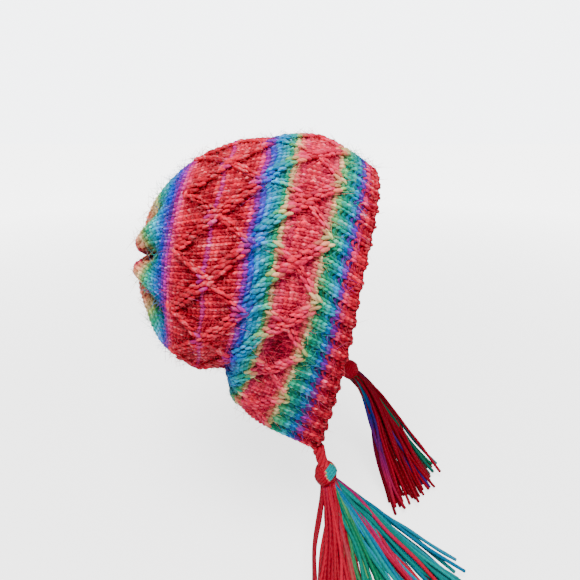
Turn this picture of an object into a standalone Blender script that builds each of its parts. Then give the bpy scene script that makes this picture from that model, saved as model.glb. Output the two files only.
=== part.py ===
"""Hand-knitted beanie with ear flaps, a ribbed face band and two yarn tassels.

Frame: metres, +Z up, +X towards the face, -Y the right ear's side. The origin is the point
inside the crown that sits on top of a head. A place on the knitting is given by two shares:
"along" runs with the columns of stitches, from the face edge to the gathered centre, and
"around" runs with a row, from the right flap's edge (-1) over the top (0) to the left's (1).
"""

import math

import bmesh
import bpy
import numpy as np
from mathutils import Vector

# Driving dimensions of the hat
HAT_LENGTH = 0.160
HALF_WIDTH = 0.0795
HAT_DEPTH = 0.204
COLUMN_LENGTH = 0.198
WALL = 0.0045
BAND_WIDTH = 0.025
SEAM_GAP = 0.0003

# Raised trellis: repeats round the hat, height of a travelling rib, and the steps of the mesh
# from one crossing to the next
TRELLIS_REPEATS = 13
TRELLIS_HEIGHT = 0.0022
TRELLIS_STEPS = 4
# Ribbed band
RIBS = 39
RIB_HEIGHT = 0.0011
SCALLOP = 0.0012
MESH_STEPS_PER_RIB = 4
BAND_ROWS = (0.0, 0.14, 0.5, 0.86, 1.0)

# Tassels
TIE_RADIUS = 0.0042
TIE_LENGTH = 0.0090
KNOT_RADIUS = 0.0085
KNOT_HALF_HEIGHT = 0.0098
KNOT_WRAP_HEIGHT = 0.0011
KNOT_RINGS = 9
KNOT_SIDES = 14
NECK_RADIUS = 0.0060
STRAND_LENGTH = 0.115
LOCK_WIDTH = 0.0105
LOCK_THICKNESS = 0.0050
TABLE_DROP = 0.2890
FAR_FLAP_FORWARD = 0.022
FAR_FLAP_RAISE = 0.016

# Sections of the knitting. "along" is a share of COLUMN_LENGTH, x columns are shares of
# HAT_LENGTH, y columns of HALF_WIDTH and drops, down from the top, of HAT_DEPTH. "round" is
# 0 where a row ends at a flap's edge and 1 where it closes under the head.
SECTION_COLUMNS = ("along", "top_x", "top_drop", "wide_x", "wide_y", "wide_drop",
                   "low_x", "low_y", "low_drop", "round")
SECTIONS = np.array((
    (0.000, 0.356, 0.103, 0.234, 0.969, 0.456, 0.119, 0.717, 1.000, 0.00),
    (0.126, 0.219, 0.034, 0.088, 0.994, 0.441, -0.088, 0.730, 0.907, 0.00),
    (0.273, 0.038, 0.000, -0.069, 1.000, 0.436, -0.231, 0.553, 0.848, 0.25),
    (0.328, -0.019, 0.000, -0.125, 1.000, 0.436, -0.263, 0.302, 0.809, 0.70),
    (0.359, -0.063, 0.007, -0.163, 1.000, 0.436, -0.281, 0.000, 0.750, 1.00),
    (0.505, -0.219, 0.027, -0.313, 0.969, 0.446, -0.388, 0.000, 0.752, 1.00),
    (0.631, -0.363, 0.061, -0.438, 0.855, 0.446, -0.481, 0.000, 0.733, 1.00),
    (0.707, -0.450, 0.100, -0.500, 0.730, 0.431, -0.522, 0.000, 0.690, 1.00),
    (0.808, -0.544, 0.196, -0.569, 0.503, 0.414, -0.575, 0.000, 0.590, 1.00),
    (0.909, -0.606, 0.304, -0.619, 0.252, 0.402, -0.625, 0.000, 0.495, 1.00),
    (1.000, -0.631, 0.382, -0.634, 0.031, 0.395, -0.634, 0.000, 0.407, 1.00),
))

# Where the rows begin to close at the nape: the first section that is closed under the head
NAPE = float(SECTIONS[np.argmax(SECTIONS[:, -1] >= 1.0), 0])
# Trellis crossings, as shares of the columns
CROSSINGS = (0.116, 0.207, 0.359, 0.490, 0.621)

# How full the rows are: powers of the curve at the top, at the low end, along a flap's edge and
# under the head
TOP_BOW = 1.4
LOW_BOW = 1.15
FLAP_BULGE = 1.7
HEAD_BULGE = 2.2
# Small step along and around that the directions of the surface are measured over
SLOPE_STEP = 0.004

# Share of the columns over which a gather grows, and over which it fades at the centre
GATHER_RISE = 0.16
GATHER_FADE = 0.06
# The last row of the crown, whose small ring is closed by a cap, and the rows past the trellis
LAST_ROW = 0.99
GATHER_ROWS = 11

# Gathers at the rear: place round the row, half width there, height as a share of WALL, and
# the share of the columns where each begins
GATHERS = (
    (-0.06, 0.05, 0.7, 0.72),
    (-0.18, 0.04, -0.8, 0.72),
    (-0.30, 0.05, 1.0, 0.70),
    (-0.40, 0.04, -1.1, 0.70),
    (-0.52, 0.05, 1.1, 0.72),
    (-0.63, 0.05, -1.6, 0.66),
    (-0.79, 0.06, 1.0, 0.64),
    (-0.92, 0.04, -0.9, 0.66),
    (0.08, 0.05, -0.6, 0.72),
    (0.22, 0.05, 1.1, 0.70),
    (0.35, 0.05, -1.0, 0.70),
    (0.50, 0.06, 1.1, 0.72),
    (0.64, 0.05, -1.3, 0.68),
    (0.80, 0.06, 1.1, 0.64),
    (0.93, 0.04, -0.8, 0.66),
)

# Soft hollows below the ears: place along and around, half sizes, depth as a share of WALL
HOLLOWS = (
    (0.215, -0.70, 0.045, 0.045, -0.75),
    (0.240, -0.80, 0.040, 0.040, -0.80),
    (0.215, 0.72, 0.045, 0.050, -0.70),
    (0.560, -0.86, 0.050, 0.050, -0.70),
)

# Locks of a tassel: heading over the table in degrees from +X, share of the strand's length,
# and how wide the lock is
NEAR_LOCKS = (
    (-95.0, 0.98, 1.0),
    (-80.0, 1.00, 1.1),
    (-65.0, 0.98, 1.1),
    (-51.0, 1.00, 1.2),
    (-37.0, 0.98, 1.1),
    (-23.0, 0.99, 1.1),
    (-10.0, 0.95, 0.9),
)
FAR_LOCKS = (
    (-78.0, 0.97, 1.0),
    (-63.0, 1.02, 1.1),
    (-48.0, 1.03, 1.1),
    (-34.0, 1.03, 1.1),
    (-21.0, 1.00, 0.9),
)
TIE_LEAN = {"near": Vector((0.26, -0.06, -0.96)), "far": Vector((0.62, -0.10, -0.78))}
# Tie: share of its length, and radius as a share of TIE_RADIUS
TIE_PROFILE = ((0.0, 0.80), (0.3, 0.95), (0.7, 0.90), (1.0, 1.05))
# Head of the skirt: distance down and radius as shares of NECK_RADIUS
HEAD_PROFILE = ((0.0, 0.70), (0.45, 1.0), (1.1, 1.1), (2.0, 0.9))
# Lock, from root to tip: half width as a share of LOCK_WIDTH, half depth of LOCK_THICKNESS
LOCK_PROFILE = (
    (0.45, 0.80),
    (0.60, 0.95),
    (0.75, 1.00),
    (0.88, 1.00),
    (0.98, 0.95),
    (1.00, 0.90),
    (0.92, 0.80),
    (0.60, 0.55),
)
# Pulls of a lock's curve: along the lean and outwards at its root, back and up at its end
ROOT_PULL = (0.20, 0.24)
END_PULL = (0.38, 0.30)
# The lock's root lies this share of NECK_RADIUS down the head
LOCK_ROOT = 0.75
TIE_SIDES = 8
HEAD_SIDES = 10
LOCK_SIDES = 6
ROW_SAMPLES = 61


def clear_scene():
    """Remove every object of the open file."""
    for item in list(bpy.data.objects):
        bpy.data.objects.remove(item, do_unlink=True)


def material(name, colour, roughness):
    """A plain yarn material."""
    made = bpy.data.materials.new(name)
    made.use_nodes = True
    shader = made.node_tree.nodes["Principled BSDF"]
    shader.inputs["Base Color"].default_value = (*colour, 1.0)
    shader.inputs["Roughness"].default_value = roughness
    shader.inputs["Metallic"].default_value = 0.0
    return made


def section_slopes():
    """Slopes of the sections' columns, flat where a column turns, so that none overshoots."""
    rises = np.diff(SECTIONS, axis=0) / np.diff(SECTIONS[:, 0])[:, None]
    before, after = rises[:-1], rises[1:]
    total = before + after
    steady = (before * after > 0.0)
    inner = np.where(steady, 2 * before * after / np.where(steady, total, 1.0), 0.0)
    return np.concatenate((rises[:1], inner, rises[-1:]))


def section_at(along):
    """The sections' columns read at one place along, by a smooth curve through the rows."""
    places = SECTIONS[:, 0]
    low = int(np.clip(np.searchsorted(places, along, side="right") - 1, 0, len(places) - 2))
    span = places[low + 1] - places[low]
    t = (min(max(along, places[0]), places[-1]) - places[low]) / span
    slopes = section_slopes()
    read = ((2 * t**3 - 3 * t**2 + 1) * SECTIONS[low]
            + (t**3 - 2 * t**2 + t) * span * slopes[low]
            + (3 * t**2 - 2 * t**3) * SECTIONS[low + 1]
            + (t**3 - t**2) * span * slopes[low + 1])
    return dict(zip(SECTION_COLUMNS, read))


def half_row(along):
    """Points of one row from the top of the hat down to the row's low end, with +Y sideways.

    The upper part is a quarter of an ellipse from the top to the widest place. The lower part
    runs on to the low end, as a flat curve on a flap and as an ellipse under the head.
    """
    at = section_at(along)
    turn = np.linspace(0.0, math.pi / 2, ROW_SAMPLES)
    fall, spread = np.cos(turn), np.sin(turn)
    closing = at["round"]
    upper = np.stack((at["wide_x"] + (at["top_x"] - at["wide_x"]) * fall**TOP_BOW,
                      at["wide_y"] * spread,
                      at["wide_drop"] + (at["top_drop"] - at["wide_drop"]) * fall), axis=1)
    bulge = FLAP_BULGE + (HEAD_BULGE - FLAP_BULGE) * closing
    rounding = 1.0 + (HEAD_BULGE - 1.0) * closing
    inward = np.clip(1.0 - spread**bulge, 0.0, 1.0)**(1.0 / rounding)
    lower = np.stack((at["wide_x"] + (at["low_x"] - at["wide_x"]) * spread**LOW_BOW,
                      at["low_y"] + (at["wide_y"] - at["low_y"]) * inward,
                      at["wide_drop"] + (at["low_drop"] - at["wide_drop"]) * spread), axis=1)
    points = np.concatenate((upper, lower[1:]))
    points *= (HAT_LENGTH, HALF_WIDTH, -HAT_DEPTH)
    points[:, 2] += WALL
    return points


def base_row(along, around):
    """Points of one row at the places in the array around, evenly spaced by real length."""
    points = half_row(along)
    steps = np.linalg.norm(np.diff(points, axis=0), axis=1)
    run = np.concatenate(((0.0,), np.cumsum(steps)))
    reach = np.minimum(np.abs(around), 1.0) * run[-1]
    row = np.stack([np.interp(reach, run, points[:, k]) for k in range(3)], axis=1)
    row[:, 1] *= np.sign(around)
    pull = np.clip(around, 0.0, 1.0)**3 * np.clip(1.0 - along / NAPE, 0.0, 1.0)
    row[:, 0] += FAR_FLAP_FORWARD * pull
    row[:, 2] += FAR_FLAP_RAISE * pull
    return row


def frame_of_row(along, around):
    """Points of a row with their outward directions and the directions along the columns."""
    lower, upper = max(along - SLOPE_STEP, 0.0), min(along + SLOPE_STEP, 1.0)
    with_column = base_row(upper, around) - base_row(lower, around)
    left = np.clip(around - SLOPE_STEP, -1.0, 1.0)
    right = np.clip(around + SLOPE_STEP, -1.0, 1.0)
    with_row = base_row(along, right) - base_row(along, left)
    outward = np.cross(with_row, with_column)
    outward /= np.linalg.norm(outward, axis=1)[:, None]
    with_column /= np.linalg.norm(with_column, axis=1)[:, None]
    return base_row(along, around), outward, with_column


def soft_form(along, around):
    """How far gathers and hollows move the knitting outwards."""
    moved = np.zeros_like(around)
    for place, half_width, height, begins in GATHERS:
        away = (around - place + 1.0) % 2.0 - 1.0
        grown = math.sin(math.pi / 2 * min(max((along - begins) / GATHER_RISE, 0.0), 1.0))
        fading = min((1.0 - along) / GATHER_FADE, 1.0)
        moved += WALL * height * grown * fading * np.exp(-(away / half_width)**2)
    for place_along, place_around, half_along, half_around, depth in HOLLOWS:
        reach = ((along - place_along) / half_along)**2 + ((around - place_around) / half_around)**2
        moved += WALL * depth * np.exp(-reach)
    return moved


def trellis_form(along, around):
    """Height of the raised trellis, whose ribs cross at the places in CROSSINGS."""
    if along > CROSSINGS[-1]:
        return np.zeros_like(around)
    travelled = np.interp(along, CROSSINGS, range(len(CROSSINGS)))
    across = TRELLIS_REPEATS * (around + 1.0)
    away = np.minimum(np.abs((across + travelled + 1.0) % 2.0 - 1.0),
                      np.abs((across - travelled + 1.0) % 2.0 - 1.0))
    return TRELLIS_HEIGHT * np.clip(1.0 - away * TRELLIS_STEPS, 0.0, 1.0)


def rib_form(along, around):
    """Height of the ribs of the face band."""
    return RIB_HEIGHT * np.cos(math.pi * RIBS * (around + 1.0))


def shell_rows(rows, around, relief, scallop):
    """Outer points of a piece of the knitting, one array for each row."""
    made = []
    for index, along in enumerate(rows):
        points, outward, with_column = frame_of_row(along, around)
        raised = soft_form(along, around) + relief(along, around)
        points = points + outward * raised[:, None]
        if index == 0:
            points -= with_column * (scallop * np.cos(math.pi * RIBS * (around + 1.0)))[:, None]
        made.append(points)
    return made


def lining_rows(rows, around):
    """Inner points of a piece of the knitting, a wall's thickness in from the outside."""
    made = []
    for along in rows:
        points, outward, _ = frame_of_row(along, around)
        made.append(points + outward * (soft_form(along, around) - WALL)[:, None])
    return made


def add_sheet(mesh, rows, closed_from, heights=None):
    """Add a grid of vertices and its faces, and return the vertices row by row.

    From the row closed_from on, the last column is the first one again. Each four-sided patch
    is cut along its higher diagonal, so that a raised rib runs unbroken.
    """
    grid = []
    for index, points in enumerate(rows):
        line = [mesh.verts.new(point) for point in points[:-1]]
        line.append(line[0] if index >= closed_from else mesh.verts.new(points[-1]))
        grid.append(line)
    for i in range(len(grid) - 1):
        for j in range(len(grid[0]) - 1):
            a, b = grid[i][j], grid[i][j + 1]
            c, d = grid[i + 1][j + 1], grid[i + 1][j]
            rising = heights is not None and (heights[i][j] + heights[i + 1][j + 1]
                                              >= heights[i][j + 1] + heights[i + 1][j])
            cuts = ((a, b, c), (a, c, d)) if rising else ((a, b, d), (b, c, d))
            for corners in cuts:
                mesh.faces.new(corners)
    return grid


def add_rim(mesh, fine, coarse):
    """Join an edge with twice as many steps to the lining's edge."""
    for k in range(len(coarse) - 1):
        first, middle, last = fine[2 * k], fine[2 * k + 1], fine[2 * k + 2]
        for corners in ((first, middle, coarse[k]), (middle, coarse[k + 1], coarse[k]),
                        (middle, last, coarse[k + 1])):
            if len(set(corners)) == 3:
                mesh.faces.new(corners)


def add_cap(mesh, ring, centre):
    """Close a ring of vertices with a fan."""
    middle = mesh.verts.new(centre)
    for k in range(len(ring) - 1):
        mesh.faces.new((ring[k], ring[k + 1], middle))


def knitted_piece(name, rows, columns, relief, scallop, nape_row, surface):
    """One closed body of knitting: outside, lining, and the edges that join them."""
    around = np.linspace(-1.0, 1.0, columns + 1)
    outside = shell_rows(rows, around, relief, scallop)
    heights = [relief(along, around) for along in rows]
    lining = lining_rows(rows[::2], around[::2])
    mesh = bmesh.new()
    outer = add_sheet(mesh, outside, nape_row, heights)
    inner = add_sheet(mesh, lining, nape_row / 2)
    add_rim(mesh, outer[0], inner[0])
    open_rows = min(nape_row, len(rows) - 1)
    for side in (0, -1):
        add_rim(mesh, [line[side] for line in outer[:open_rows + 1]],
                [line[side] for line in inner[:open_rows // 2 + 1]])
    if nape_row < len(rows):
        add_cap(mesh, outer[-1], outside[-1].mean(axis=0))
        add_cap(mesh, inner[-1], lining[-1].mean(axis=0))
    else:
        add_rim(mesh, outer[-1], inner[-1])
    return finished(name, mesh, surface)


def finished(name, mesh, surface):
    """Turn a bmesh into an object of the scene with its faces pointing out."""
    bmesh.ops.recalc_face_normals(mesh, faces=mesh.faces)
    data = bpy.data.meshes.new(name)
    mesh.to_mesh(data)
    mesh.free()
    data.materials.append(surface)
    data.shade_smooth()
    made = bpy.data.objects.new(name, data)
    bpy.context.scene.collection.objects.link(made)
    return made


def crown_rows():
    """Places of the crown's rows: a few for each crossing of the trellis, then the gathers."""
    rows = [BAND_WIDTH / COLUMN_LENGTH, (CROSSINGS[0] + CROSSINGS[1]) / 2]
    for low, high in zip(CROSSINGS[1:], CROSSINGS[2:]):
        rows.extend(np.linspace(low, high, TRELLIS_STEPS, endpoint=False))
    rows.extend(np.linspace(CROSSINGS[-1], LAST_ROW, GATHER_ROWS))
    return rows


def band_rows():
    """Places of the band's rows, with a thin one at each edge."""
    edge = (BAND_WIDTH - SEAM_GAP) / COLUMN_LENGTH
    return [edge * share for share in BAND_ROWS]


def tube_mesh(mesh, path, widths, thicknesses, sides, side_way):
    """Add a closed tube with elliptical rings along a path of Vectors."""
    rings = []
    for k, centre in enumerate(path):
        ahead = (path[min(k + 1, len(path) - 1)] - path[max(k - 1, 0)]).normalized()
        wide = (side_way - ahead * side_way.dot(ahead)).normalized()
        thick = ahead.cross(wide)
        ring = []
        for turn in range(sides):
            angle = 2 * math.pi * turn / sides
            ring.append(mesh.verts.new(centre + wide * (widths[k] * math.cos(angle))
                                       + thick * (thicknesses[k] * math.sin(angle))))
        rings.append(ring)
    for lower, upper in zip(rings, rings[1:]):
        for turn in range(sides):
            after = (turn + 1) % sides
            mesh.faces.new((lower[turn], lower[after], upper[after], upper[turn]))
    mesh.faces.new(rings[0])
    mesh.faces.new(rings[-1])


def tie_seat(side, lean):
    """Where a tie begins: just clear of the two corners of the band at the flap's point."""
    around = np.array((-1.0 if side == "near" else 1.0,))
    points, outward, with_column = frame_of_row(0.0, around)
    soft = soft_form(0.0, around)
    outer = points + outward * (soft + rib_form(0.0, around)) - with_column * SCALLOP
    inner = points + outward * (soft - WALL)
    corners = (Vector(outer[0]), Vector(inner[0]))
    middle = (corners[0] + corners[1]) / 2
    reach = max((corner - middle).dot(lean) for corner in corners)
    return middle + lean * (reach + SEAM_GAP)


def tassel_line(side):
    """Top of the tie, top and foot of the knot, and the direction that they lie along."""
    lean = TIE_LEAN[side].normalized()
    tie_top = tie_seat(side, lean)
    knot_top = tie_top + lean * (TIE_LENGTH + SEAM_GAP)
    knot_foot = knot_top + lean * (2 * KNOT_HALF_HEIGHT)
    return tie_top, knot_top, knot_foot, lean


def make_tie(side, surface):
    """The short bundle of yarn between the flap's tip and the knot."""
    tie_top, knot_top, _, lean = tassel_line(side)
    foot = knot_top - lean * SEAM_GAP
    path = [tie_top.lerp(foot, down) for down, _ in TIE_PROFILE]
    radii = [TIE_RADIUS * share for _, share in TIE_PROFILE]
    mesh = bmesh.new()
    tube_mesh(mesh, path, radii, radii, TIE_SIDES, Vector((1.0, 0.0, 0.0)))
    return finished(f"{side}_tie", mesh, surface)


def make_knot(side, surface):
    """An overhand knot: an egg of yarn with two wraps winding round it."""
    _, knot_top, knot_foot, lean = tassel_line(side)
    centre = (knot_top + knot_foot) / 2
    first = Vector((0.0, 1.0, 0.0)).cross(lean).normalized()
    second = lean.cross(first)
    mesh = bmesh.new()
    top = mesh.verts.new(knot_top)
    foot = mesh.verts.new(knot_foot)
    grid = []
    for k in range(1, KNOT_RINGS):
        down = math.pi * k / KNOT_RINGS
        full = math.sin(down)
        line = []
        for turn in range(KNOT_SIDES):
            angle = 2 * math.pi * turn / KNOT_SIDES
            wrap = KNOT_WRAP_HEIGHT * full * math.cos(4 * down + angle)
            out = full * (KNOT_RADIUS + wrap)
            line.append(mesh.verts.new(centre - lean * (KNOT_HALF_HEIGHT * math.cos(down))
                                       + first * (out * math.cos(angle))
                                       + second * (out * math.sin(angle))))
        grid.append(line)
    for turn in range(KNOT_SIDES):
        after = (turn + 1) % KNOT_SIDES
        mesh.faces.new((top, grid[0][turn], grid[0][after]))
        mesh.faces.new((foot, grid[-1][after], grid[-1][turn]))
        for upper, lower in zip(grid, grid[1:]):
            mesh.faces.new((upper[turn], lower[turn], lower[after], upper[after]))
    return finished(f"{side}_knot", mesh, surface)


def lock_path(start, lean, heading, length):
    """Path of one lock: out of the head, down to the table and out over it.

    It is a cubic curve whose straight line from end to end is the lock's length.
    """
    table = -TABLE_DROP + LOCK_THICKNESS
    away = Vector((math.cos(heading), math.sin(heading), 0.0))
    fall = start.z - table
    reach = math.sqrt(max(length**2 - fall**2, 0.0))
    end = Vector((start.x, start.y, table)) + away * reach
    first_pull = start + lean * (ROOT_PULL[0] * fall) + away * (ROOT_PULL[1] * reach)
    last_pull = end - away * (END_PULL[0] * reach) + Vector((0.0, 0.0, END_PULL[1] * fall))
    path = []
    for t in np.linspace(0.0, 1.0, len(LOCK_PROFILE)):
        path.append(start * (1 - t)**3 + first_pull * (3 * t * (1 - t)**2)
                    + last_pull * (3 * t**2 * (1 - t)) + end * t**3)
    return path, away.cross(Vector((0.0, 0.0, 1.0)))


def make_tassel(side, locks, surface):
    """The skirt of a tassel: a rounded head with each lock fused to it."""
    _, _, knot_foot, lean = tassel_line(side)
    start = knot_foot + lean * SEAM_GAP
    mesh = bmesh.new()
    path = [start + lean * (NECK_RADIUS * down) for down, _ in HEAD_PROFILE]
    radii = [NECK_RADIUS * share for _, share in HEAD_PROFILE]
    tube_mesh(mesh, path, radii, radii, HEAD_SIDES, Vector((1.0, 0.0, 0.0)))
    skirt = finished(f"{side}_tassel", mesh, surface)
    for number, (heading, share, wide) in enumerate(locks):
        root = start + lean * (NECK_RADIUS * LOCK_ROOT)
        points, side_way = lock_path(root, lean, math.radians(heading), STRAND_LENGTH * share)
        widths = [LOCK_WIDTH * wide * broad for broad, _ in LOCK_PROFILE]
        depths = [LOCK_THICKNESS * deep for _, deep in LOCK_PROFILE]
        lock_mesh = bmesh.new()
        tube_mesh(lock_mesh, points, widths, depths, LOCK_SIDES, side_way)
        lock = finished(f"{side}_lock_{number + 1}", lock_mesh, surface)
        lock.hide_render = True
        lock.display_type = "WIRE"
        fuse = skirt.modifiers.new(f"fuse {number + 1}", "BOOLEAN")
        fuse.operation = "UNION"
        fuse.solver = "EXACT"
        fuse.object = lock
    return skirt


def build():
    """Make every piece of the hat."""
    clear_scene()
    red = material("red_yarn", (0.72, 0.03, 0.10), 0.75)
    pink = material("pink_yarn", (0.78, 0.05, 0.16), 0.75)
    teal = material("teal_yarn", (0.02, 0.46, 0.44), 0.7)
    crimson = material("crimson_yarn", (0.42, 0.01, 0.05), 0.75)
    rows = crown_rows()
    nape_row = int(np.argmin([abs(along - NAPE) for along in rows]))
    knitted_piece("knit_crown", rows, TRELLIS_REPEATS * 2 * TRELLIS_STEPS, trellis_form, 0.0,
                  nape_row, red)
    knitted_piece("face_band", band_rows(), RIBS * MESH_STEPS_PER_RIB, rib_form, SCALLOP,
                  len(band_rows()), pink)
    for side, locks, surface in (("near", NEAR_LOCKS, teal), ("far", FAR_LOCKS, crimson)):
        make_tie(side, red)
        make_knot(side, red)
        make_tassel(side, locks, surface)


build()
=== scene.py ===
"""Looped yarn for a hand-knitted beanie with ear flaps: courses, cables, ribs, ties and tassels.

A place on the knitting is given by two shares. "along" runs with the columns of stitches, from
the face edge (0) to the gathered centre (1). "around" runs with a row, from the right flap's
edge (-1) over the top (0) to the left's (1). Metres, +Z up, +X towards the face.
"""

import math

import bpy
import numpy as np
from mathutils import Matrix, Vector


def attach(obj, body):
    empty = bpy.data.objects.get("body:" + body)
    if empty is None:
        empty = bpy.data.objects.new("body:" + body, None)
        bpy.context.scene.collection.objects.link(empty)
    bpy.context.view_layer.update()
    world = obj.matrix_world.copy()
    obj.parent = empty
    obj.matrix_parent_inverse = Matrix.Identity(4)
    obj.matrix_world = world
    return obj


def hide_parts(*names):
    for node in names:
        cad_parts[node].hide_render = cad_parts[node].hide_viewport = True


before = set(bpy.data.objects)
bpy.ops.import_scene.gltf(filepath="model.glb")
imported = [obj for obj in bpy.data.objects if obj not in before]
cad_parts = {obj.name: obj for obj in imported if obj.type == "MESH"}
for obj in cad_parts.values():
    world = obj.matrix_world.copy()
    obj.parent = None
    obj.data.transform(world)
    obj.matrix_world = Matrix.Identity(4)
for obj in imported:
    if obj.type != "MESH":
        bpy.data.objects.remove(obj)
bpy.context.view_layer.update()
BODY = "root"

bl_info = {
    "name": "Knitted Beanie",
    "version": (1, 0, 0),
    "blender": (4, 5, 0),
    "location": "3D View > Sidebar > Beanie",
    "description": "Knits a self-striping beanie with ear flaps and tassels, loop by loop",
    "category": "Add Mesh",
}

# Driving dimensions of the hat, as in the solid model
HAT_LENGTH = 0.160
HALF_WIDTH = 0.0795
HAT_DEPTH = 0.204
COLUMN_LENGTH = 0.198
WALL = 0.0045
SEAM_GAP = 0.0003
TRELLIS_REPEATS = 13
RIBS = 39
RIB_HEIGHT = 0.0011
SCALLOP = 0.0012
TIE_RADIUS = 0.0042
TIE_LENGTH = 0.0090
KNOT_RADIUS = 0.0085
KNOT_HALF_HEIGHT = 0.0098
NECK_RADIUS = 0.0060
STRAND_LENGTH = 0.115
TABLE_DROP = 0.2890
FAR_FLAP_FORWARD = 0.022
FAR_FLAP_RAISE = 0.016

# Sections of the knitting. "along" is a share of COLUMN_LENGTH, x columns are shares of
# HAT_LENGTH, y columns of HALF_WIDTH and drops, down from the top, of HAT_DEPTH. "round" is
# 0 where a row ends at a flap's edge and 1 where it closes under the head.
SECTION_COLUMNS = ("along", "top_x", "top_drop", "wide_x", "wide_y", "wide_drop",
                   "low_x", "low_y", "low_drop", "round")
SECTIONS = np.array((
    (0.000, 0.356, 0.103, 0.234, 0.969, 0.456, 0.119, 0.717, 1.000, 0.00),
    (0.126, 0.219, 0.034, 0.088, 0.994, 0.441, -0.088, 0.730, 0.907, 0.00),
    (0.273, 0.038, 0.000, -0.069, 1.000, 0.436, -0.231, 0.553, 0.848, 0.25),
    (0.328, -0.019, 0.000, -0.125, 1.000, 0.436, -0.263, 0.302, 0.809, 0.70),
    (0.359, -0.063, 0.007, -0.163, 1.000, 0.436, -0.281, 0.000, 0.750, 1.00),
    (0.505, -0.219, 0.027, -0.313, 0.969, 0.446, -0.388, 0.000, 0.752, 1.00),
    (0.631, -0.363, 0.061, -0.438, 0.855, 0.446, -0.481, 0.000, 0.733, 1.00),
    (0.707, -0.450, 0.100, -0.500, 0.730, 0.431, -0.522, 0.000, 0.690, 1.00),
    (0.808, -0.544, 0.196, -0.569, 0.503, 0.414, -0.575, 0.000, 0.590, 1.00),
    (0.909, -0.606, 0.304, -0.619, 0.252, 0.402, -0.625, 0.000, 0.495, 1.00),
    (1.000, -0.631, 0.382, -0.634, 0.031, 0.395, -0.634, 0.000, 0.407, 1.00),
))
NAPE = float(SECTIONS[np.argmax(SECTIONS[:, -1] >= 1.0), 0])
CROSSINGS = (0.116, 0.207, 0.359, 0.490, 0.621)
TOP_BOW = 1.4
LOW_BOW = 1.15
FLAP_BULGE = 1.7
HEAD_BULGE = 2.2
ROW_SAMPLES = 61
ALONG_STEPS = 480
AROUND_STEPS = 320

# Gathers at the rear: place round the row, half width there, height as a share of WALL, and
# the share of the columns where each begins
GATHER_RISE = 0.16
GATHER_FADE = 0.06
GATHER_DEPTH = 1.4
GATHERS = (
    (-0.06, 0.05, 0.7, 0.72),
    (-0.18, 0.04, -0.8, 0.72),
    (-0.30, 0.05, 1.0, 0.70),
    (-0.40, 0.04, -1.1, 0.70),
    (-0.52, 0.05, 1.1, 0.72),
    (-0.63, 0.05, -1.6, 0.66),
    (-0.79, 0.06, 1.0, 0.64),
    (-0.92, 0.04, -0.9, 0.66),
    (0.08, 0.05, -0.6, 0.72),
    (0.22, 0.05, 1.1, 0.70),
    (0.35, 0.05, -1.0, 0.70),
    (0.50, 0.06, 1.1, 0.72),
    (0.64, 0.05, -1.3, 0.68),
    (0.80, 0.06, 1.1, 0.64),
    (0.93, 0.04, -0.8, 0.66),
)
# Soft hollows below the ears: place along and around, half sizes, depth as a share of WALL
HOLLOWS = (
    (0.215, -0.70, 0.045, 0.045, -0.75),
    (0.240, -0.80, 0.040, 0.040, -0.80),
    (0.215, 0.72, 0.045, 0.050, -0.70),
    (0.560, -0.86, 0.050, 0.050, -0.70),
)

# Stitches: courses from the face edge to the centre, and wales in a full row
COURSES = 64
BAND_COURSES = 8
WALES = 117
SEGMENTS = 8
YARN_SIDES = 5
GRAIN_SIDES = 6
STRAND_SIDES = 6
HAIR_SIDES = 3
HAIR_POINTS = 5
# Share of the columns where the decreases begin, and the narrowest stitch after that
DECREASE_FROM = 0.66
NARROW_STITCH = 0.0039
# Height of the ground under a cable and depth of the gutters beside it, with their half widths
# and the gutter's place in half repeats of the trellis
RIDGE_HEIGHT = 0.0010
RIDGE_SPREAD = 0.17
GUTTER_DEPTH = 0.0007
GUTTER_PLACE = 0.34
GUTTER_SPREAD = 0.12
# How far the cables pull a row to and fro along the columns, as a share of COLUMN_LENGTH
ROW_SWAY = 0.0055
# Shape of a loop, as shares of a stitch's width and a course's height, and how far a purl
# stitch lies back where a knit one stands out by 1
LOOP_LEAN = 0.25
LOOP_REACH = 0.86
PURL_SIDE = -0.7
RIB_RISE = 0.0003
# Unevenness of a course: what its number gains for the seed, waves in a stitch, and amount
UNEVEN = {
    "across": (0, 0.9, 0.10),
    "along": (100, 1.3, 0.10),
    "thickness": (200, 0.8, 0.14),
    "dye": (300, 0.35, 0.012),
    "shade": (400, 1.0, (0.76, 1.16)),
}
# The yarn's light and shade are painted into its colour as a brightness: 1 on top of the
# knitting and painted shade where it sinks in. These are the brightness of a sunk leg, and how
# much painted shade each kind of hollow takes away or painted light a crest adds
SUNK_PAINTED_SHADE = 0.46
SUNK_POWER = 1.2
LEG_SHADE = 0.14
RIB_SHADE = 0.12
GUTTER_SHADE = 0.22
GUTTER_SHADE_SPREAD = 0.13
VALLEY_SHADE = 0.62
GATHERED_SHADE = 0.22
# The two kinds of travelling line: way round the row, files of legs, leg width and length as
# shares of the settings, lean of a leg, painted light added, and hump of the middle file
CABLE_COLUMNS = ("way", "files", "width", "length", "lean", "painted_light_added", "hump")
CABLES = (
    (1.0, 2, 0.86, 1.12, 0.20, 0.06, 0.0),
    (-1.0, 3, 1.00, 0.96, -0.34, 0.0, 0.0004),
)
# How far one line lies over the other at a crossing, and the half width of that place
CABLE_OVERLAP = 0.0007
OVERLAP_SPREAD = 0.13
# Half sizes of a leg as shares of the pitch, the file's width and the yarn, its bow, and the
# ranges of its size, lean, place, dye, and painted light with a random tone
LEG_HALVES = (0.68, 0.60, 1.02)
LEG_BOW = 0.0007
LEG_SIZES = (0.76, 1.16)
LEG_LEANS = (-0.1, 0.1)
LEG_NUDGES = (-0.0006, 0.0006)
LEG_DYES = (-0.02, 0.02)
LEG_PAINTED_LIGHT_AND_TONE = (0.70, 1.05)
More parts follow.
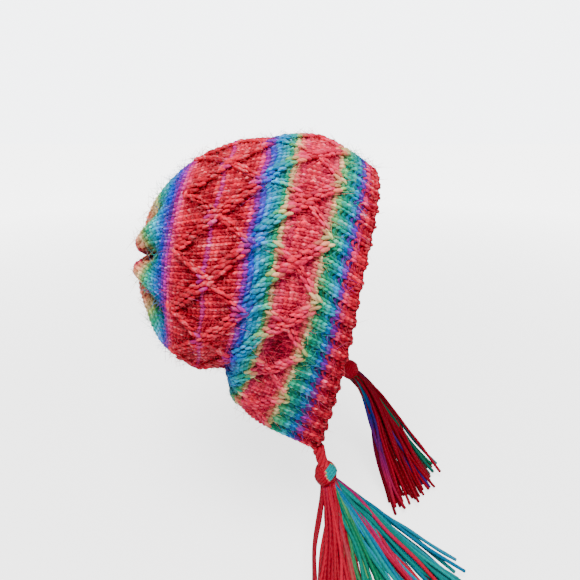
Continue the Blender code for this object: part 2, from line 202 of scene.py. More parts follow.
# The sheet inside the wall, painted dark as the shade between the loops: points along and
# around, depth of its two faces, and painted light
CORE_GRID = (112, 205)
CORE_DEPTHS = (0.0015, 0.0020)
CORE_PAINTED_SHADE = 0.3
# The yarn wound round the rim: height of a turn for its width of 1, thickness for the yarn's 1,
# unevenness (seed, waves in a metre, amount), and painted light
RIM_FLATNESS = 0.6
RIM_THICKNESS = 0.95
RIM_UNEVEN = (41, 300.0, 0.08)
RIM_PAINTED_LIGHT = 0.45
# The drawn-up centre: spokes, where along they begin and how deep, rise of their middles, half
# length as a share of the way to the centre, bow, dye and painted light
SPOKES = 16
SPOKE_BEGINS = 0.975
SPOKE_DEPTH = 0.0010
SPOKE_RISE = 0.0006
SPOKE_REACH = 0.62
SPOKE_BOW = 0.0004
SPOKE_DYE = 1.86
SPOKE_PAINTED_LIGHT = 0.9
# Loose fibres: share that is spread evenly along, and ranges of their roots' height, of how
# steeply they rise, of their length for the longest's 1, and of their bend
HAIRS_EVEN = 0.75
HAIR_ROOTS = (-0.0008, 0.0010)
HAIR_RISES = (0.25, 1.0)
HAIR_LENGTHS = (0.35, 1.0)
HAIR_BENDS = (-0.5, 0.8)

# The dye of the yarn along the columns: distance from the face edge in millimetres, and the
# place in the colour sequence
STRIPES = np.array((
    (0.0, 0.95),
    (6.0, 1.00),
    (8.5, 1.11),
    (10.5, 1.21),
    (12.0, 1.27),
    (14.0, 1.36),
    (18.0, 1.43),
    (22.0, 1.47),
    (24.0, 1.52),
    (25.0, 1.58),
    (28.0, 1.68),
    (31.0, 1.82),
    (44.0, 1.85),
    (49.0, 1.78),
    (52.0, 1.66),
    (54.0, 1.58),
    (56.0, 1.49),
    (58.0, 1.41),
    (63.0, 1.36),
    (67.0, 1.31),
    (69.0, 1.25),
    (71.5, 1.18),
    (74.0, 1.11),
    (77.0, 1.00),
    (86.0, 0.90),
    (98.0, 0.88),
    (99.5, 1.10),
    (101.5, 1.10),
    (103.0, 0.92),
    (122.0, 0.97),
    (127.0, 1.07),
    (132.0, 1.16),
    (137.0, 1.25),
    (143.0, 1.31),
    (148.0, 1.39),
    (154.0, 1.46),
    (159.0, 1.56),
    (165.0, 1.62),
    (174.0, 1.68),
    (185.0, 1.78),
    (198.0, 1.86),
))

# Heading of a tassel's strands in degrees over the table, and their dye at root and tip
NEAR_FAN = np.array((
    (-99.0, 1.88, 1.93),
    (-92.0, 1.82, 1.98),
    (-85.0, 1.90, 1.86),
    (-79.0, 1.95, 1.90),
    (-74.0, 1.80, 1.62),
    (-70.0, 1.52, 1.46),
    (-66.0, 1.48, 1.44),
    (-61.0, 1.42, 1.47),
    (-56.0, 1.37, 1.40),
    (-50.0, 1.34, 1.38),
    (-46.0, 1.36, 1.40),
    (-41.0, 1.14, 0.94),
    (-37.5, 0.93, 1.13),
    (-34.0, 1.12, 0.96),
    (-28.0, 1.41, 1.38),
    (-22.0, 1.43, 1.40),
    (-15.0, 1.39, 1.42),
    (-9.0, 1.37, 1.34),
))
FAR_FAN = np.array((
    (-68.0, 1.40, 0.96),
    (-64.0, 1.96, 1.92),
    (-58.0, 1.94, 1.97),
    (-52.0, 1.92, 1.95),
    (-46.0, 1.95, 1.93),
    (-41.0, 1.21, 1.22),
    (-38.0, 1.94, 1.92),
    (-33.0, 1.97, 1.93),
    (-29.0, 1.92, 1.95),
    (-25.0, 1.94, 1.96),
    (-20.0, 1.50, 1.46),
    (-16.0, 1.42, 1.38),
))
TIE_LEAN = {"near": (0.26, -0.06, -0.96), "far": (0.62, -0.10, -0.78)}
# Seed of a skirt's random numbers and its brightest painted light, lower on the far skirt as
# painted shade
SKIRTS = {"near": (11, 0.80), "far": (12, 0.62)}
# Curve of a strand: points, pull along the lean and away at its root and back from its end as
# shares of its fall and reach, range of the lift of its end's pull, and sideways waver
STRAND_POINTS = 30
ROOT_PULL = (0.20, 0.24)
END_PULL = 0.38
END_LIFT = (0.20, 0.42)
WAVER = 0.0052
# Place in the dye sequence and painted light of ties and knots, how far back in it the patch on
# the near knot lies, and the points of a knot's ring
TIE_DYE = 1.90
TIE_PAINTED_LIGHT = 0.80
KNOT_DYE = 1.93
KNOT_PAINTED_LIGHT = 0.74
KNOT_PATCH = 0.54
KNOT_POINTS = 40

# Knots: tilt of the pole, its swing round the lean, fullness and the rings' latitudes
KNOT_RINGS = (
    (0.55, 0.2, 0.90, np.linspace(-62.0, 62.0, 9)),
    (-0.62, 0.5, 1.00, np.linspace(-26.0, 26.0, 5)),
    (0.05, 0.0, 0.80, np.array((-66.0, 66.0, 78.0))),
)

# Finishes of the wool: roughness, paleness of the streaks (a lighter ply and a painted
# highlight on the tops), height of the plies, turns of the plies in a metre, and sheen
WOOLS = {
    "striped_wool": (0.42, 0.95, 0.00022, 330.0, 0.0),
    "cable_wool": (0.40, 0.85, 0.00020, 330.0, 0.0),
    "shade_sheet_wool": (0.85, 0.0, 0.00010, 330.0, 0.0),
    "halo_fibre": (0.60, 1.4, 0.00001, 330.0, 0.2),
    "tassel_wool": (0.42, 0.30, 0.00022, 300.0, 0.02),
}

# The camera, where the photograph was taken from
CAMERA_PLACE = (0.0, -0.32325, 0.01515)
CAMERA_AIM = (0.0, 0.0, -0.1025)
CAMERA_LENS = 29.17


def unit(vectors):
    """Vectors divided by their lengths."""
    return vectors / np.maximum(np.linalg.norm(vectors, axis=-1, keepdims=True), 1e-12)


def wander(seed, places):
    """A smooth random curve between about -1 and 1: four sine waves of places added up."""
    chance = np.random.default_rng(seed)
    total = np.zeros_like(places)
    for _ in range(4):
        pitch = chance.uniform(0.5, 2.2)
        shift = chance.uniform(0.0, 2 * math.pi)
        total += 0.4 * np.sin(pitch * places + shift)
    return total


def section_slopes():
    """Slopes of the sections' columns, flat where a column turns, so that none overshoots."""
    rises = np.diff(SECTIONS, axis=0) / np.diff(SECTIONS[:, 0])[:, None]
    before, after = rises[:-1], rises[1:]
    steady = (before * after > 0.0)
    inner = np.where(steady, 2 * before * after / np.where(steady, before + after, 1.0), 0.0)
    return np.concatenate((rises[:1], inner, rises[-1:]))


def sections_at(along):
    """The sections' columns at each place along: a cubic curve from row to row of the table."""
    places = SECTIONS[:, 0]
    low = np.clip(np.searchsorted(places, along, side="right") - 1, 0, len(places) - 2)
    span = (places[low + 1] - places[low])[:, None]
    t = (along - places[low])[:, None] / span
    slopes = section_slopes()
    read = ((2 * t**3 - 3 * t**2 + 1) * SECTIONS[low]
            + (t**3 - 2 * t**2 + t) * span * slopes[low]
            + (3 * t**2 - 2 * t**3) * SECTIONS[low + 1]
            + (t**3 - t**2) * span * slopes[low + 1])
    return {name: read[:, k:k + 1] for k, name in enumerate(SECTION_COLUMNS)}


def half_rows(along):
    """Half rows from the top down: a quarter ellipse to the widest place, then the low curve.

    The low curve closes in as one less a power of the spread, which is flat on a flap and an
    ellipse under the head.
    """
    at = sections_at(along)
    turn = np.linspace(0.0, math.pi / 2, ROW_SAMPLES)[None, :]
    fall = np.cos(turn)
    spread = np.sin(turn)
    closing = at["round"]
    upper = np.stack((at["wide_x"] + (at["top_x"] - at["wide_x"]) * fall**TOP_BOW,
                      at["wide_y"] * spread,
                      at["wide_drop"] + (at["top_drop"] - at["wide_drop"]) * fall), axis=-1)
    bulge = FLAP_BULGE + (HEAD_BULGE - FLAP_BULGE) * closing
    rounding = 1.0 + (HEAD_BULGE - 1.0) * closing
    inward = np.clip(1.0 - spread**bulge, 0.0, 1.0)**(1.0 / rounding)
    lower = np.stack((at["wide_x"] + (at["low_x"] - at["wide_x"]) * spread**LOW_BOW,
                      at["low_y"] + (at["wide_y"] - at["low_y"]) * inward,
                      at["wide_drop"] + (at["low_drop"] - at["wide_drop"]) * spread), axis=-1)
    rows = np.concatenate((upper, lower[:, 1:]), axis=1)
    rows = rows * (HAT_LENGTH, HALF_WIDTH, -HAT_DEPTH)
    rows[..., 2] += WALL
    return rows


def knitting_table():
    """The knitting's surface on a grid of along and around, spaced by length along each row.

    The directions are differences of neighbouring points, and the outward one is their cross
    product.
    """
    along = np.linspace(0.0, 1.0, ALONG_STEPS + 1)
    around = np.linspace(-1.0, 1.0, AROUND_STEPS + 1)
    rows = half_rows(along)
    steps = np.linalg.norm(np.diff(rows, axis=1), axis=2)
    run = np.concatenate((np.zeros((len(along), 1)), np.cumsum(steps, axis=1)), axis=1)
    length = 2 * run[:, -1]
    number = np.arange(len(along))[:, None]
    just_under = 1.0 - 1e-9
    known = (number + just_under * run / run[:, -1:]).ravel()
    asked = (number + just_under * np.abs(around)[None, :]).ravel()
    points = np.stack([np.interp(asked, known, rows[..., k].ravel()) for k in range(3)], axis=-1)
    points = points.reshape(len(along), len(around), 3)
    points[..., 1] *= np.sign(around)
    pull = (np.clip(around, 0.0, 1.0)**3)[None, :] * np.clip(1.0 - along / NAPE, 0.0, 1.0)[:, None]
    points[..., 0] += FAR_FLAP_FORWARD * pull
    points[..., 2] += FAR_FLAP_RAISE * pull
    column = unit(np.gradient(points, axis=0))
    row = unit(np.gradient(points, axis=1))
    outward = unit(np.cross(row, column))
    return np.concatenate((points, outward, column, row), axis=-1), length


TABLE, ROW_LENGTH = knitting_table()


def soft_form(along, around):
    """How far gathers and hollows move the knitting outwards: a bell curve for each."""
    moved = np.zeros(np.broadcast(along, around).shape)
    fading = np.clip((1.0 - along) / GATHER_FADE, 0.0, 1.0)
    for place, half_width, height, begins in GATHERS:
        away = (around - place + 1.0) % 2.0 - 1.0
        grown = np.sin(math.pi / 2 * np.clip((along - begins) / GATHER_RISE, 0.0, 1.0))
        bell = np.exp(-(away / half_width)**2)
        moved = moved + GATHER_DEPTH * WALL * height * grown * fading * bell
    for place_along, place_around, half_along, half_around, depth in HOLLOWS:
        reach = ((along - place_along) / half_along)**2 + ((around - place_around) / half_around)**2
        moved = moved + WALL * depth * np.exp(-reach)
    return moved


def on_knitting(along, around, out):
    """Points that lie out above the knitting, with its outward, column and row directions.

    The table is read between its four nearest places, and the point is moved along the outward
    direction by the soft form and by out.
    """
    around = np.where(along >= NAPE, (around + 1.0) % 2.0 - 1.0, np.clip(around, -1.0, 1.0))
    i = np.clip(along, 0.0, 1.0) * ALONG_STEPS
    j = (around + 1.0) / 2.0 * AROUND_STEPS
    i_low = np.clip(np.floor(i).astype(int), 0, ALONG_STEPS - 1)
    j_low = np.clip(np.floor(j).astype(int), 0, AROUND_STEPS - 1)
    i_part = (i - i_low)[..., None]
    j_part = (j - j_low)[..., None]
    near = TABLE[i_low, j_low] * (1 - j_part) + TABLE[i_low, j_low + 1] * j_part
    far = TABLE[i_low + 1, j_low] * (1 - j_part) + TABLE[i_low + 1, j_low + 1] * j_part
    read = near * (1 - i_part) + far * i_part
    outward = unit(read[..., 3:6])
    moved = soft_form(along, around) + out
    points = read[..., :3] + outward * moved[..., None]
    return points, outward, unit(read[..., 6:9]), unit(read[..., 9:12])


def travelled(along):
    """How many crossings of the trellis have been passed."""
    return np.interp(along, CROSSINGS, range(len(CROSSINGS)))


def on_trellis(along):
    """1 where the trellis runs and 0 before its first and after its last crossing."""
    begun = np.clip((along - CROSSINGS[0]) / 0.02, 0.0, 1.0)
    ended = np.clip((CROSSINGS[-1] + 0.01 - along) / 0.02, 0.0, 1.0)
    return begun * ended


def off_the_lines(along, around):
    """Distance to the nearest travelling line, in half repeats of the trellis."""
    across = TRELLIS_REPEATS * (around + 1.0)
    passed = travelled(along)
    return np.minimum(np.abs((across + passed + 1.0) % 2.0 - 1.0),
                      np.abs((across - passed + 1.0) % 2.0 - 1.0))


def trellis_ridge(along, around):
    """Height of the ground at the travelling cables: a bell curve with a gutter either side."""
    away = off_the_lines(along, around)
    ridge = RIDGE_HEIGHT * np.exp(-(away / RIDGE_SPREAD)**2)
    gutter = GUTTER_DEPTH * np.exp(-((away - GUTTER_PLACE) / GUTTER_SPREAD)**2)
    return on_trellis(along) * (ridge - gutter)


def row_wave(along, around):
    """How far a row sways along the columns where the cables pull on it."""
    sway = np.cos(math.pi * TRELLIS_REPEATS * (around + 1.0)) * np.cos(math.pi * travelled(along))
    return ROW_SWAY * on_trellis(along) * sway


def dye_at(along):
    """Place in the colour sequence at each share along."""
    return np.interp(along * COLUMN_LENGTH * 1000.0, STRIPES[:, 0], STRIPES[:, 1])


def ring_faces(count, rings, sides, closed):
    """Faces of tubes: quads from ring to ring, and fans from an open end's ring to its pole.

    Point j of ring i of tube n has the number (n times rings plus i) times sides plus j. The
    poles come after all rings: first those of the starts, then those of the ends.
    """
    first = np.arange(count)[:, None, None] * rings * sides
    i = np.arange(rings if closed else rings - 1)[:, None] * sides
    i_after = (i + sides) % (rings * sides)
    j = np.arange(sides)[None, :]
    after = (j + 1) % sides
    quads = np.stack((i + j, i_after + j, i_after + after, i + after), axis=-1).reshape(-1, 4)
    quads = (quads[None] + first).reshape(-1, 4)
    if closed:
        return quads, np.zeros((0, 3), int)
    start = first[:, 0]
    end = start + (rings - 1) * sides
    start_pole = np.broadcast_to(count * rings * sides + np.arange(count)[:, None], (count, sides))
    start_fan = np.stack((start_pole, start + j, start + after), axis=-1)
    end_fan = np.stack((start_pole + count, end + after, end + j), axis=-1)
    return quads, np.concatenate((start_fan.reshape(-1, 3), end_fan.reshape(-1, 3)))


def yarn_places(run, ends, sides):
    """Places along the yarn and round it, at the corners of the quads and of the fans.

    run is each ring's place along its tube, and ends are the places of the start and end poles.
    """
    j = np.arange(sides)
    quad_round = np.stack((j, j, j + 1, j + 1), axis=-1) / sides
    run_from = run[:, :-1, None]
    run_to = run[:, 1:, None]
    quad_run = np.stack((run_from, run_to, run_to, run_from), axis=-1)
    fan_round = np.stack((j + 0.5, j, j + 1.0), axis=-1) / sides
    fan_run = ends[:, :, None, None]
    quad_uv = np.stack(np.broadcast_arrays(quad_run, quad_round), axis=-1)
    fan_shape = (*ends.shape, sides, 3)
    fan_uv = np.stack((np.broadcast_to(fan_run, fan_shape), np.broadcast_to(fan_round, fan_shape)),
                      axis=-1)
    return quad_uv.reshape(-1, 4, 2), fan_uv.reshape(-1, 3, 2)


def tubes(centres, ups, radii, sides, closed, dye, painted_light_and_tone):
    """Arrays of tubes: rings of points round each path, and quads from ring to ring.

    centres and ups are (tubes, points, 3); radii, dye and the painted light and tone are
    (tubes, points). A ring's point is the centre plus the radius times the cosine of its angle
    sideways and the sine upwards. A closed tube's last ring meets its first, and an open one ends
    in two poles.
    """
    count, length = centres.shape[:2]
    if closed:
        ahead = np.roll(centres, -1, axis=1) - np.roll(centres, 1, axis=1)
    else:
        ahead = np.gradient(centres, axis=1)
    ahead = unit(ahead)
    side = unit(np.cross(ahead, ups))
    up = np.cross(side, ahead)
    angle = 2 * math.pi * np.arange(sides) / sides
    ring = (np.cos(angle)[:, None] * side[:, :, None, :]
            + np.sin(angle)[:, None] * up[:, :, None, :])
    verts = centres[:, :, None, :] + radii[:, :, None, None] * ring
    spans = np.linalg.norm(np.roll(centres, -1, axis=1) - centres, axis=2)
    run = np.concatenate((np.zeros((count, 1)), np.cumsum(spans, axis=1)), axis=1)
    ends = np.zeros((2, 0))
    if not closed:
        run = run[:, :length]
        ends = np.stack((run[:, 0], run[:, -1]))
    quads, tris = ring_faces(count, length, sides, closed)
    quad_uv, tri_uv = yarn_places(run, ends, sides)
    made = {"verts": verts.reshape(-1, 3), "quads": quads, "quad_uv": quad_uv, "tris": tris,
            "tri_uv": tri_uv, "dye": np.repeat(dye.ravel(), sides),
            "painted_light_and_tone": np.repeat(painted_light_and_tone.ravel(), sides)}
    if not closed:
        poles = np.concatenate((centres[:, 0] - ahead[:, 0] * radii[:, :1] * 0.5,
                                centres[:, -1] + ahead[:, -1] * radii[:, -1:] * 0.5))
        made["verts"] = np.concatenate((made["verts"], poles))
        made["dye"] = np.concatenate((made["dye"], dye[:, 0], dye[:, -1]))
        made["painted_light_and_tone"] = np.concatenate((made["painted_light_and_tone"], painted_light_and_tone[:, 0], painted_light_and_tone[:, -1]))
    return made


def grains(centres, heading, up, half_length, half_width, half_depth, sink, dye, painted_light_and_tone):
    """Arrays of yarn legs: rings along a short bowed axis that narrow to a pole at each end.

    At the share v from -1 to 1 the axis lies at v times the half length, less sink times v
    squared, and the ring's size is the square root of one less v squared.
    """
    shares = np.array((-0.84, -0.45, 0.0, 0.45, 0.84))
    rings = len(shares)
    count = len(centres)
    side = unit(np.cross(heading, up))
    angle = 2 * math.pi * np.arange(GRAIN_SIDES) / GRAIN_SIDES
    axis = (centres[:, None] + heading[:, None] * (half_length[:, None] * shares)[..., None]
            - up[:, None] * (sink * shares**2)[None, :, None])
    swell = np.sqrt(1.0 - shares**2)
    across = (side[:, None] * half_width[:, None, None])[:, :, None] * np.cos(angle)[:, None]
    over = (up[:, None] * half_depth[:, None, None])[:, :, None] * np.sin(angle)[:, None]
    verts = axis[:, :, None] + swell[None, :, None, None] * (across + over)
    ends = heading * half_length[:, None]
    poles = np.concatenate((centres - ends - up * sink, centres + ends - up * sink))
    quads, tris = ring_faces(count, rings, GRAIN_SIDES, False)
    run = centres[:, :1] + half_length[:, None] * shares
    end_run = np.stack((centres[:, 0] - half_length, centres[:, 0] + half_length))
    quad_uv, tri_uv = yarn_places(run, end_run, GRAIN_SIDES)
    return {"verts": np.concatenate((verts.reshape(-1, 3), poles)), "quads": quads,
            "quad_uv": quad_uv, "tris": tris, "tri_uv": tri_uv,
            "dye": np.concatenate((np.repeat(dye, rings * GRAIN_SIDES), dye, dye)),
            "painted_light_and_tone": np.concatenate((np.repeat(painted_light_and_tone, rings * GRAIN_SIDES), painted_light_and_tone * 0.5, painted_light_and_tone * 0.5))}


def make_piece(name, parts, material, replaced=()):
    """Join arrays of tubes and grains into one object that rides on the body."""
    offsets = np.cumsum([0] + [len(part["verts"]) for part in parts])
    verts = np.concatenate([part["verts"] for part in parts])
    quads = np.concatenate([part["quads"] + shift for part, shift in zip(parts, offsets)])
    tris = np.concatenate([part["tris"] + shift for part, shift in zip(parts, offsets)])
    corners = np.concatenate((quads.ravel(), tris.ravel()))
    starts = np.concatenate((np.arange(len(quads)) * 4, len(quads) * 4 + np.arange(len(tris)) * 3))
    uv = np.concatenate([part["quad_uv"].reshape(-1, 2) for part in parts]
                        + [part["tri_uv"].reshape(-1, 2) for part in parts])
    mesh = bpy.data.meshes.new(name)
    mesh.vertices.add(len(verts))
    mesh.vertices.foreach_set("co", verts.astype(np.float32).ravel())
    mesh.loops.add(len(corners))
    mesh.loops.foreach_set("vertex_index", corners.astype(np.int32))
    mesh.polygons.add(len(starts))
    mesh.polygons.foreach_set("loop_start", starts.astype(np.int32))
    mesh.polygons.foreach_set("use_smooth", np.ones(len(starts), bool))
    mesh.update(calc_edges=True)
    layer = mesh.uv_layers.new(name="yarn")
    layer.uv.foreach_set("vector", uv.astype(np.float32).ravel())
    for key in ("dye", "painted_light_and_tone"):
        values = np.concatenate([part[key] for part in parts]).astype(np.float32)
        mesh.attributes.new(key, "FLOAT", "POINT").data.foreach_set("value", values)
    mesh.validate()
    mesh.materials.append(material)
    piece = bpy.data.objects.new(name, mesh)
    bpy.context.scene.collection.objects.link(piece)
    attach(piece, BODY)
    if replaced:
        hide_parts(*replaced)
    return piece


def wales_at(along):
    """Stitches in a row: the full count, then whole repeats as the row grows short."""
    if along < DECREASE_FROM:
        return WALES
    length = np.interp(along, np.linspace(0.0, 1.0, ALONG_STEPS + 1), ROW_LENGTH)
    each = int(np.clip(round(length / (TRELLIS_REPEATS * NARROW_STITCH)), 1, 9))
    return TRELLIS_REPEATS * each


def knit_or_purl(place, ribbed):
    """1 on a knit stitch and less than 0 on a purl one, turning over smoothly between them."""
    if not ribbed:
        return np.ones_like(place)
    centres = np.arange(-1, WALES + 1) + 0.5
    kinds = np.where(np.arange(-1, WALES + 1) % 3 == 1, PURL_SIDE, 1.0)
    known = np.stack((centres - 0.3, centres + 0.3), axis=1).ravel()
    return np.interp(place, known, np.repeat(kinds, 2))


def unevenness(kind, number, stitch):
    """How far a course strays at each stitch, as UNEVEN gives for that kind."""
    seed, pitch, amount = UNEVEN[kind]
    return amount * wander(number + seed, stitch * pitch)


def course_painted_light_and_tone(number, wales, along, around, turn, forward):
    """Painted light of a course: 1 on top, painted shade where the yarn sinks in, on one leg of each
    stitch, in the rib furrows, gutters and valleys and over the gathered rear, painted light on the
    crests, and a random tone for each stitch.
    """
    # Painted shade where the yarn sinks in, and one leg of each stitch painted lighter than the other
    raised = (0.5 + 0.5 * forward)**SUNK_POWER
    painted_light_and_tone = (SUNK_PAINTED_SHADE + (1.0 - SUNK_PAINTED_SHADE) * raised) * (1.0 + LEG_SHADE * np.sin(turn))
    # Painted shade in the rib furrows, or in the gutters beside the cables
    if number < BAND_COURSES:
        crest = np.cos(math.pi * RIBS * (around + 1.0))
        painted_light_and_tone = painted_light_and_tone * (1.0 - RIB_SHADE + RIB_SHADE * crest)
    else:
        away = (off_the_lines(along, around) - GUTTER_PLACE) / GUTTER_SHADE_SPREAD
        painted_light_and_tone = painted_light_and_tone * (1.0 - GUTTER_SHADE * np.exp(-away**2) * on_trellis(along))
    seed, _, shades = UNEVEN["shade"]
    chance = np.random.default_rng(number + seed)
    stitch = np.floor(turn / (2 * math.pi)).astype(int)
    each = chance.uniform(*shades, wales + 1)[stitch]
    # Painted shade in the valleys and over the gathered rear, painted light on the crests
    valley = np.clip(soft_form(along, around) / WALL, -1.0, 0.6)
    gathered = np.clip((along - 0.70) / 0.10, 0.0, 1.0)
    return painted_light_and_tone * each * (1.0 + VALLEY_SHADE * valley) * (1.0 - GATHERED_SHADE * gathered)


def course(number, settings):
    """One course of loops: across by the stitch, to and fro by a cosine, in and out twice.

    At the turn t of a stitch the yarn lies t/2pi plus the lean times sin 2t across, minus the
    reach times cos t along the columns, and minus the depth times cos 2t outwards.
    """
    centre = (number + 0.5) / COURSES
    ribbed = number < BAND_COURSES
    closed = centre > NAPE
    wales = wales_at(centre)
    turn = 2 * math.pi * np.arange(wales * SEGMENTS + (0 if closed else 1)) / SEGMENTS
    stitch = turn / (2 * math.pi)
    place = stitch + LOOP_LEAN * np.sin(2 * turn)
    if not closed:
        place = place + unevenness("across", number, stitch)
    around = 2 * place / wales - 1.0
    uneven = unevenness("along", number, stitch) * np.cos(turn)
    along = centre + (-LOOP_REACH * np.cos(turn) + uneven) / COURSES + row_wave(centre, around)
    side = knit_or_purl(place, ribbed)
    forward = -np.cos(2 * turn) * side
    radius = settings.yarn_radius * (1.0 + unevenness("thickness", number, stitch))
    middle = settings.yarn_radius + settings.loop_depth
    if ribbed:
        relief = 0.5 * RIB_HEIGHT * np.cos(math.pi * RIBS * (around + 1.0)) + RIB_RISE
    else:
        relief = trellis_ridge(along, around)
    out = -middle + settings.loop_depth * forward + relief
    centres, outward, _, _ = on_knitting(along, around, out)
    dye = dye_at(centre + (around + 1.0) / 2.0 / COURSES - 0.5 / COURSES)
    dye = dye + unevenness("dye", number, stitch)
    painted_light_and_tone = course_painted_light_and_tone(number, wales, along, around, turn, forward)
    return tubes(centres[None], outward[None], radius[None], YARN_SIDES, closed,
                 dye[None], painted_light_and_tone[None])


def trellis_line(way, begun):
    """Path of a travelling line: half a repeat round the row from crossing to crossing."""
    passed = np.linspace(0.0, len(CROSSINGS) - 1.0, 240)
    along = np.interp(passed, range(len(CROSSINGS)), CROSSINGS)
    return passed, along, (begun + way * passed) / TRELLIS_REPEATS - 1.0


def line_run(along, around):
    """Length run along a travelling line, without the jump where it closes round the back."""
    path, _, _, _ = on_knitting(along, np.clip(around, -1.0, 1.0), np.zeros_like(along))
    spans = np.linalg.norm(np.diff(path, axis=0), axis=1)
    spans = np.where(spans > 0.02, 0.0, spans)
    return np.concatenate(((0.0,), np.cumsum(spans)))


def cable_file(number, file, kind, line, settings):
    """One file of legs on a travelling line: slanted grains, a pitch apart.

    A line lies over the other at every second crossing and under it at the rest, by a cosine.
    """
    passed, along, around = line
    way = kind["way"]
    wrapped = np.where(along >= NAPE, (around + 1.0) % 2.0 - 1.0, around)
    on_hat = (along >= NAPE) | (np.abs(around) <= 0.985)
    run = line_run(along, wrapped)
    apart = settings.leg_width * kind["width"]
    pitch = settings.cable_pitch * kind["length"]
    at = np.arange(0.5, run[-1] / pitch - 0.2) * pitch + pitch * (file * 0.5 % 1.0)
    at = at[np.interp(at, run, on_hat.astype(float)) > 0.99]
    here = np.interp(at, run, passed)
    there = np.interp(at, run, along)
    place = np.interp(here, passed, around)
    place = np.where(there >= NAPE, (place + 1.0) % 2.0 - 1.0, place)
    next_there = np.interp(here + 0.02, passed, along)
    next_place = place + way * 0.02 / TRELLIS_REPEATS
    crossing = np.exp(-(((here + 0.5) % 1.0 - 0.5) / OVERLAP_SPREAD)**2)
    over = CABLE_OVERLAP * way * np.cos(math.pi * here) * crossing
    out = RIDGE_HEIGHT + settings.cable_height + over + (kind["hump"] if file == 1 else 0.0)
    base, outward, _, _ = on_knitting(there, place, out)
    ahead, _, _, _ = on_knitting(next_there, next_place, out)
    heading = unit(ahead - base)
    sideways = unit(np.cross(outward, heading))
    chance = np.random.default_rng(1000 + number * 4 + file)
    lean = kind["lean"] + chance.uniform(*LEG_LEANS, len(at))[:, None]
    size = chance.uniform(*LEG_SIZES, len(at))
    nudge = chance.uniform(*LEG_NUDGES, (2, len(at)))
    offset = (file - (kind["files"] - 1) / 2) * apart
    centres = base + sideways * (offset + nudge[0])[:, None] + heading * nudge[1][:, None]
    dye = dye_at(there) + chance.uniform(*LEG_DYES, len(at))
    # Painted light of a leg: near full as the cables stand on top, with a random tone, and more on
    # the line painted brighter
    painted_light_and_tone = chance.uniform(*LEG_PAINTED_LIGHT_AND_TONE, len(at)) + kind["painted_light_added"]
    long, wide, deep = LEG_HALVES
    return grains(centres, unit(heading + sideways * lean), outward, pitch * long * size,
                  apart * wide * size, settings.yarn_radius * deep * size, LEG_BOW, dye, painted_light_and_tone)


def cable_legs(settings):
    """Legs of all travelling lines: 13 lines that climb with the rows and 13 the other way."""
    parts = []
    for row, columns in enumerate(CABLES):
        kind = dict(zip(CABLE_COLUMNS, columns))
        for repeat in range(TRELLIS_REPEATS):
            line = trellis_line(kind["way"], 2 * repeat)
            number = row * TRELLIS_REPEATS + repeat
            for file in range(kind["files"]):
                parts.append(cable_file(number, file, kind, line, settings))
    return parts


def edge_frame():
    """The hat's rim as one closed path: the face edge, then up one flap's edge and down the other.

    Gives its points in the middle of the wall, the knitting's outward direction, the direction
    away from the knitting, and the dye.
    """
    across = np.linspace(-1.0, 1.0, 700)
    up_flap = np.linspace(0.0, NAPE, 150)[1:-1]
    along = np.concatenate((np.zeros_like(across), up_flap, up_flap[::-1]))
    around = np.concatenate((across, np.ones_like(up_flap), -np.ones_like(up_flap)))
    points, outward, column, row = on_knitting(along, around, np.full_like(along, -0.45 * WALL))
    face = len(across)
    flap = len(up_flap)
    away = np.concatenate((-column[:face], row[face:face + flap], -row[face + flap:]))
    away = away - outward * np.sum(away * outward, axis=1, keepdims=True)
    weights = np.exp(-(np.arange(-6, 7) / 3.0)**2)
    smooth = sum(weight * np.roll(away, k, axis=0) for k, weight in zip(range(-6, 7), weights))
    scallop = SCALLOP * np.cos(math.pi * RIBS * (around + 1.0)) * (along == 0.0)
    points = points + unit(smooth) * scallop[:, None]
    return points, outward, unit(smooth), dye_at(along)


def wound_edge(settings):
    """The cast-on edge and selvages: a yarn wound round the rim like a spring."""
    points, outward, away, dye = edge_frame()
    spans = np.linalg.norm(np.roll(points, -1, axis=0) - points, axis=1)
    run = np.concatenate(((0.0,), np.cumsum(spans)))
    turns = int(round(run[-1] / settings.edge_pitch))
    at = np.linspace(0.0, run[-1], turns * SEGMENTS, endpoint=False)

    def read(values):
        """The rim's values at the wound yarn's places, by straight lines between its points."""
        closed = np.concatenate((values, values[:1]))
        if values.ndim == 1:
            return np.interp(at, run, closed)
        return np.stack([np.interp(at, run, closed[:, k]) for k in range(3)], axis=1)

    angle = 2 * math.pi * turns * at / run[-1]
    reach = settings.edge_reach
    middle = read(points)
    out = unit(read(outward))
    beyond = unit(read(away))
    centres = (middle + out * (reach * np.cos(angle))[:, None]
               + beyond * (RIM_FLATNESS * reach * np.sin(angle))[:, None])
    ups = unit(out * np.cos(angle)[:, None] + beyond * np.sin(angle)[:, None])
    seed, pitch, amount = RIM_UNEVEN
    radius = settings.yarn_radius * (RIM_THICKNESS + amount * wander(seed, at * pitch))
    # Painted light: a turn is lighter where it faces out or away from the knitting, and in painted
    # shade where it turns in
    painted_light_and_tone = RIM_PAINTED_LIGHT + RIM_PAINTED_LIGHT * np.maximum(np.cos(angle), np.sin(angle))
    return tubes(centres[None], ups[None], radius[None], YARN_SIDES, True,
                 read(dye)[None], painted_light_and_tone[None])


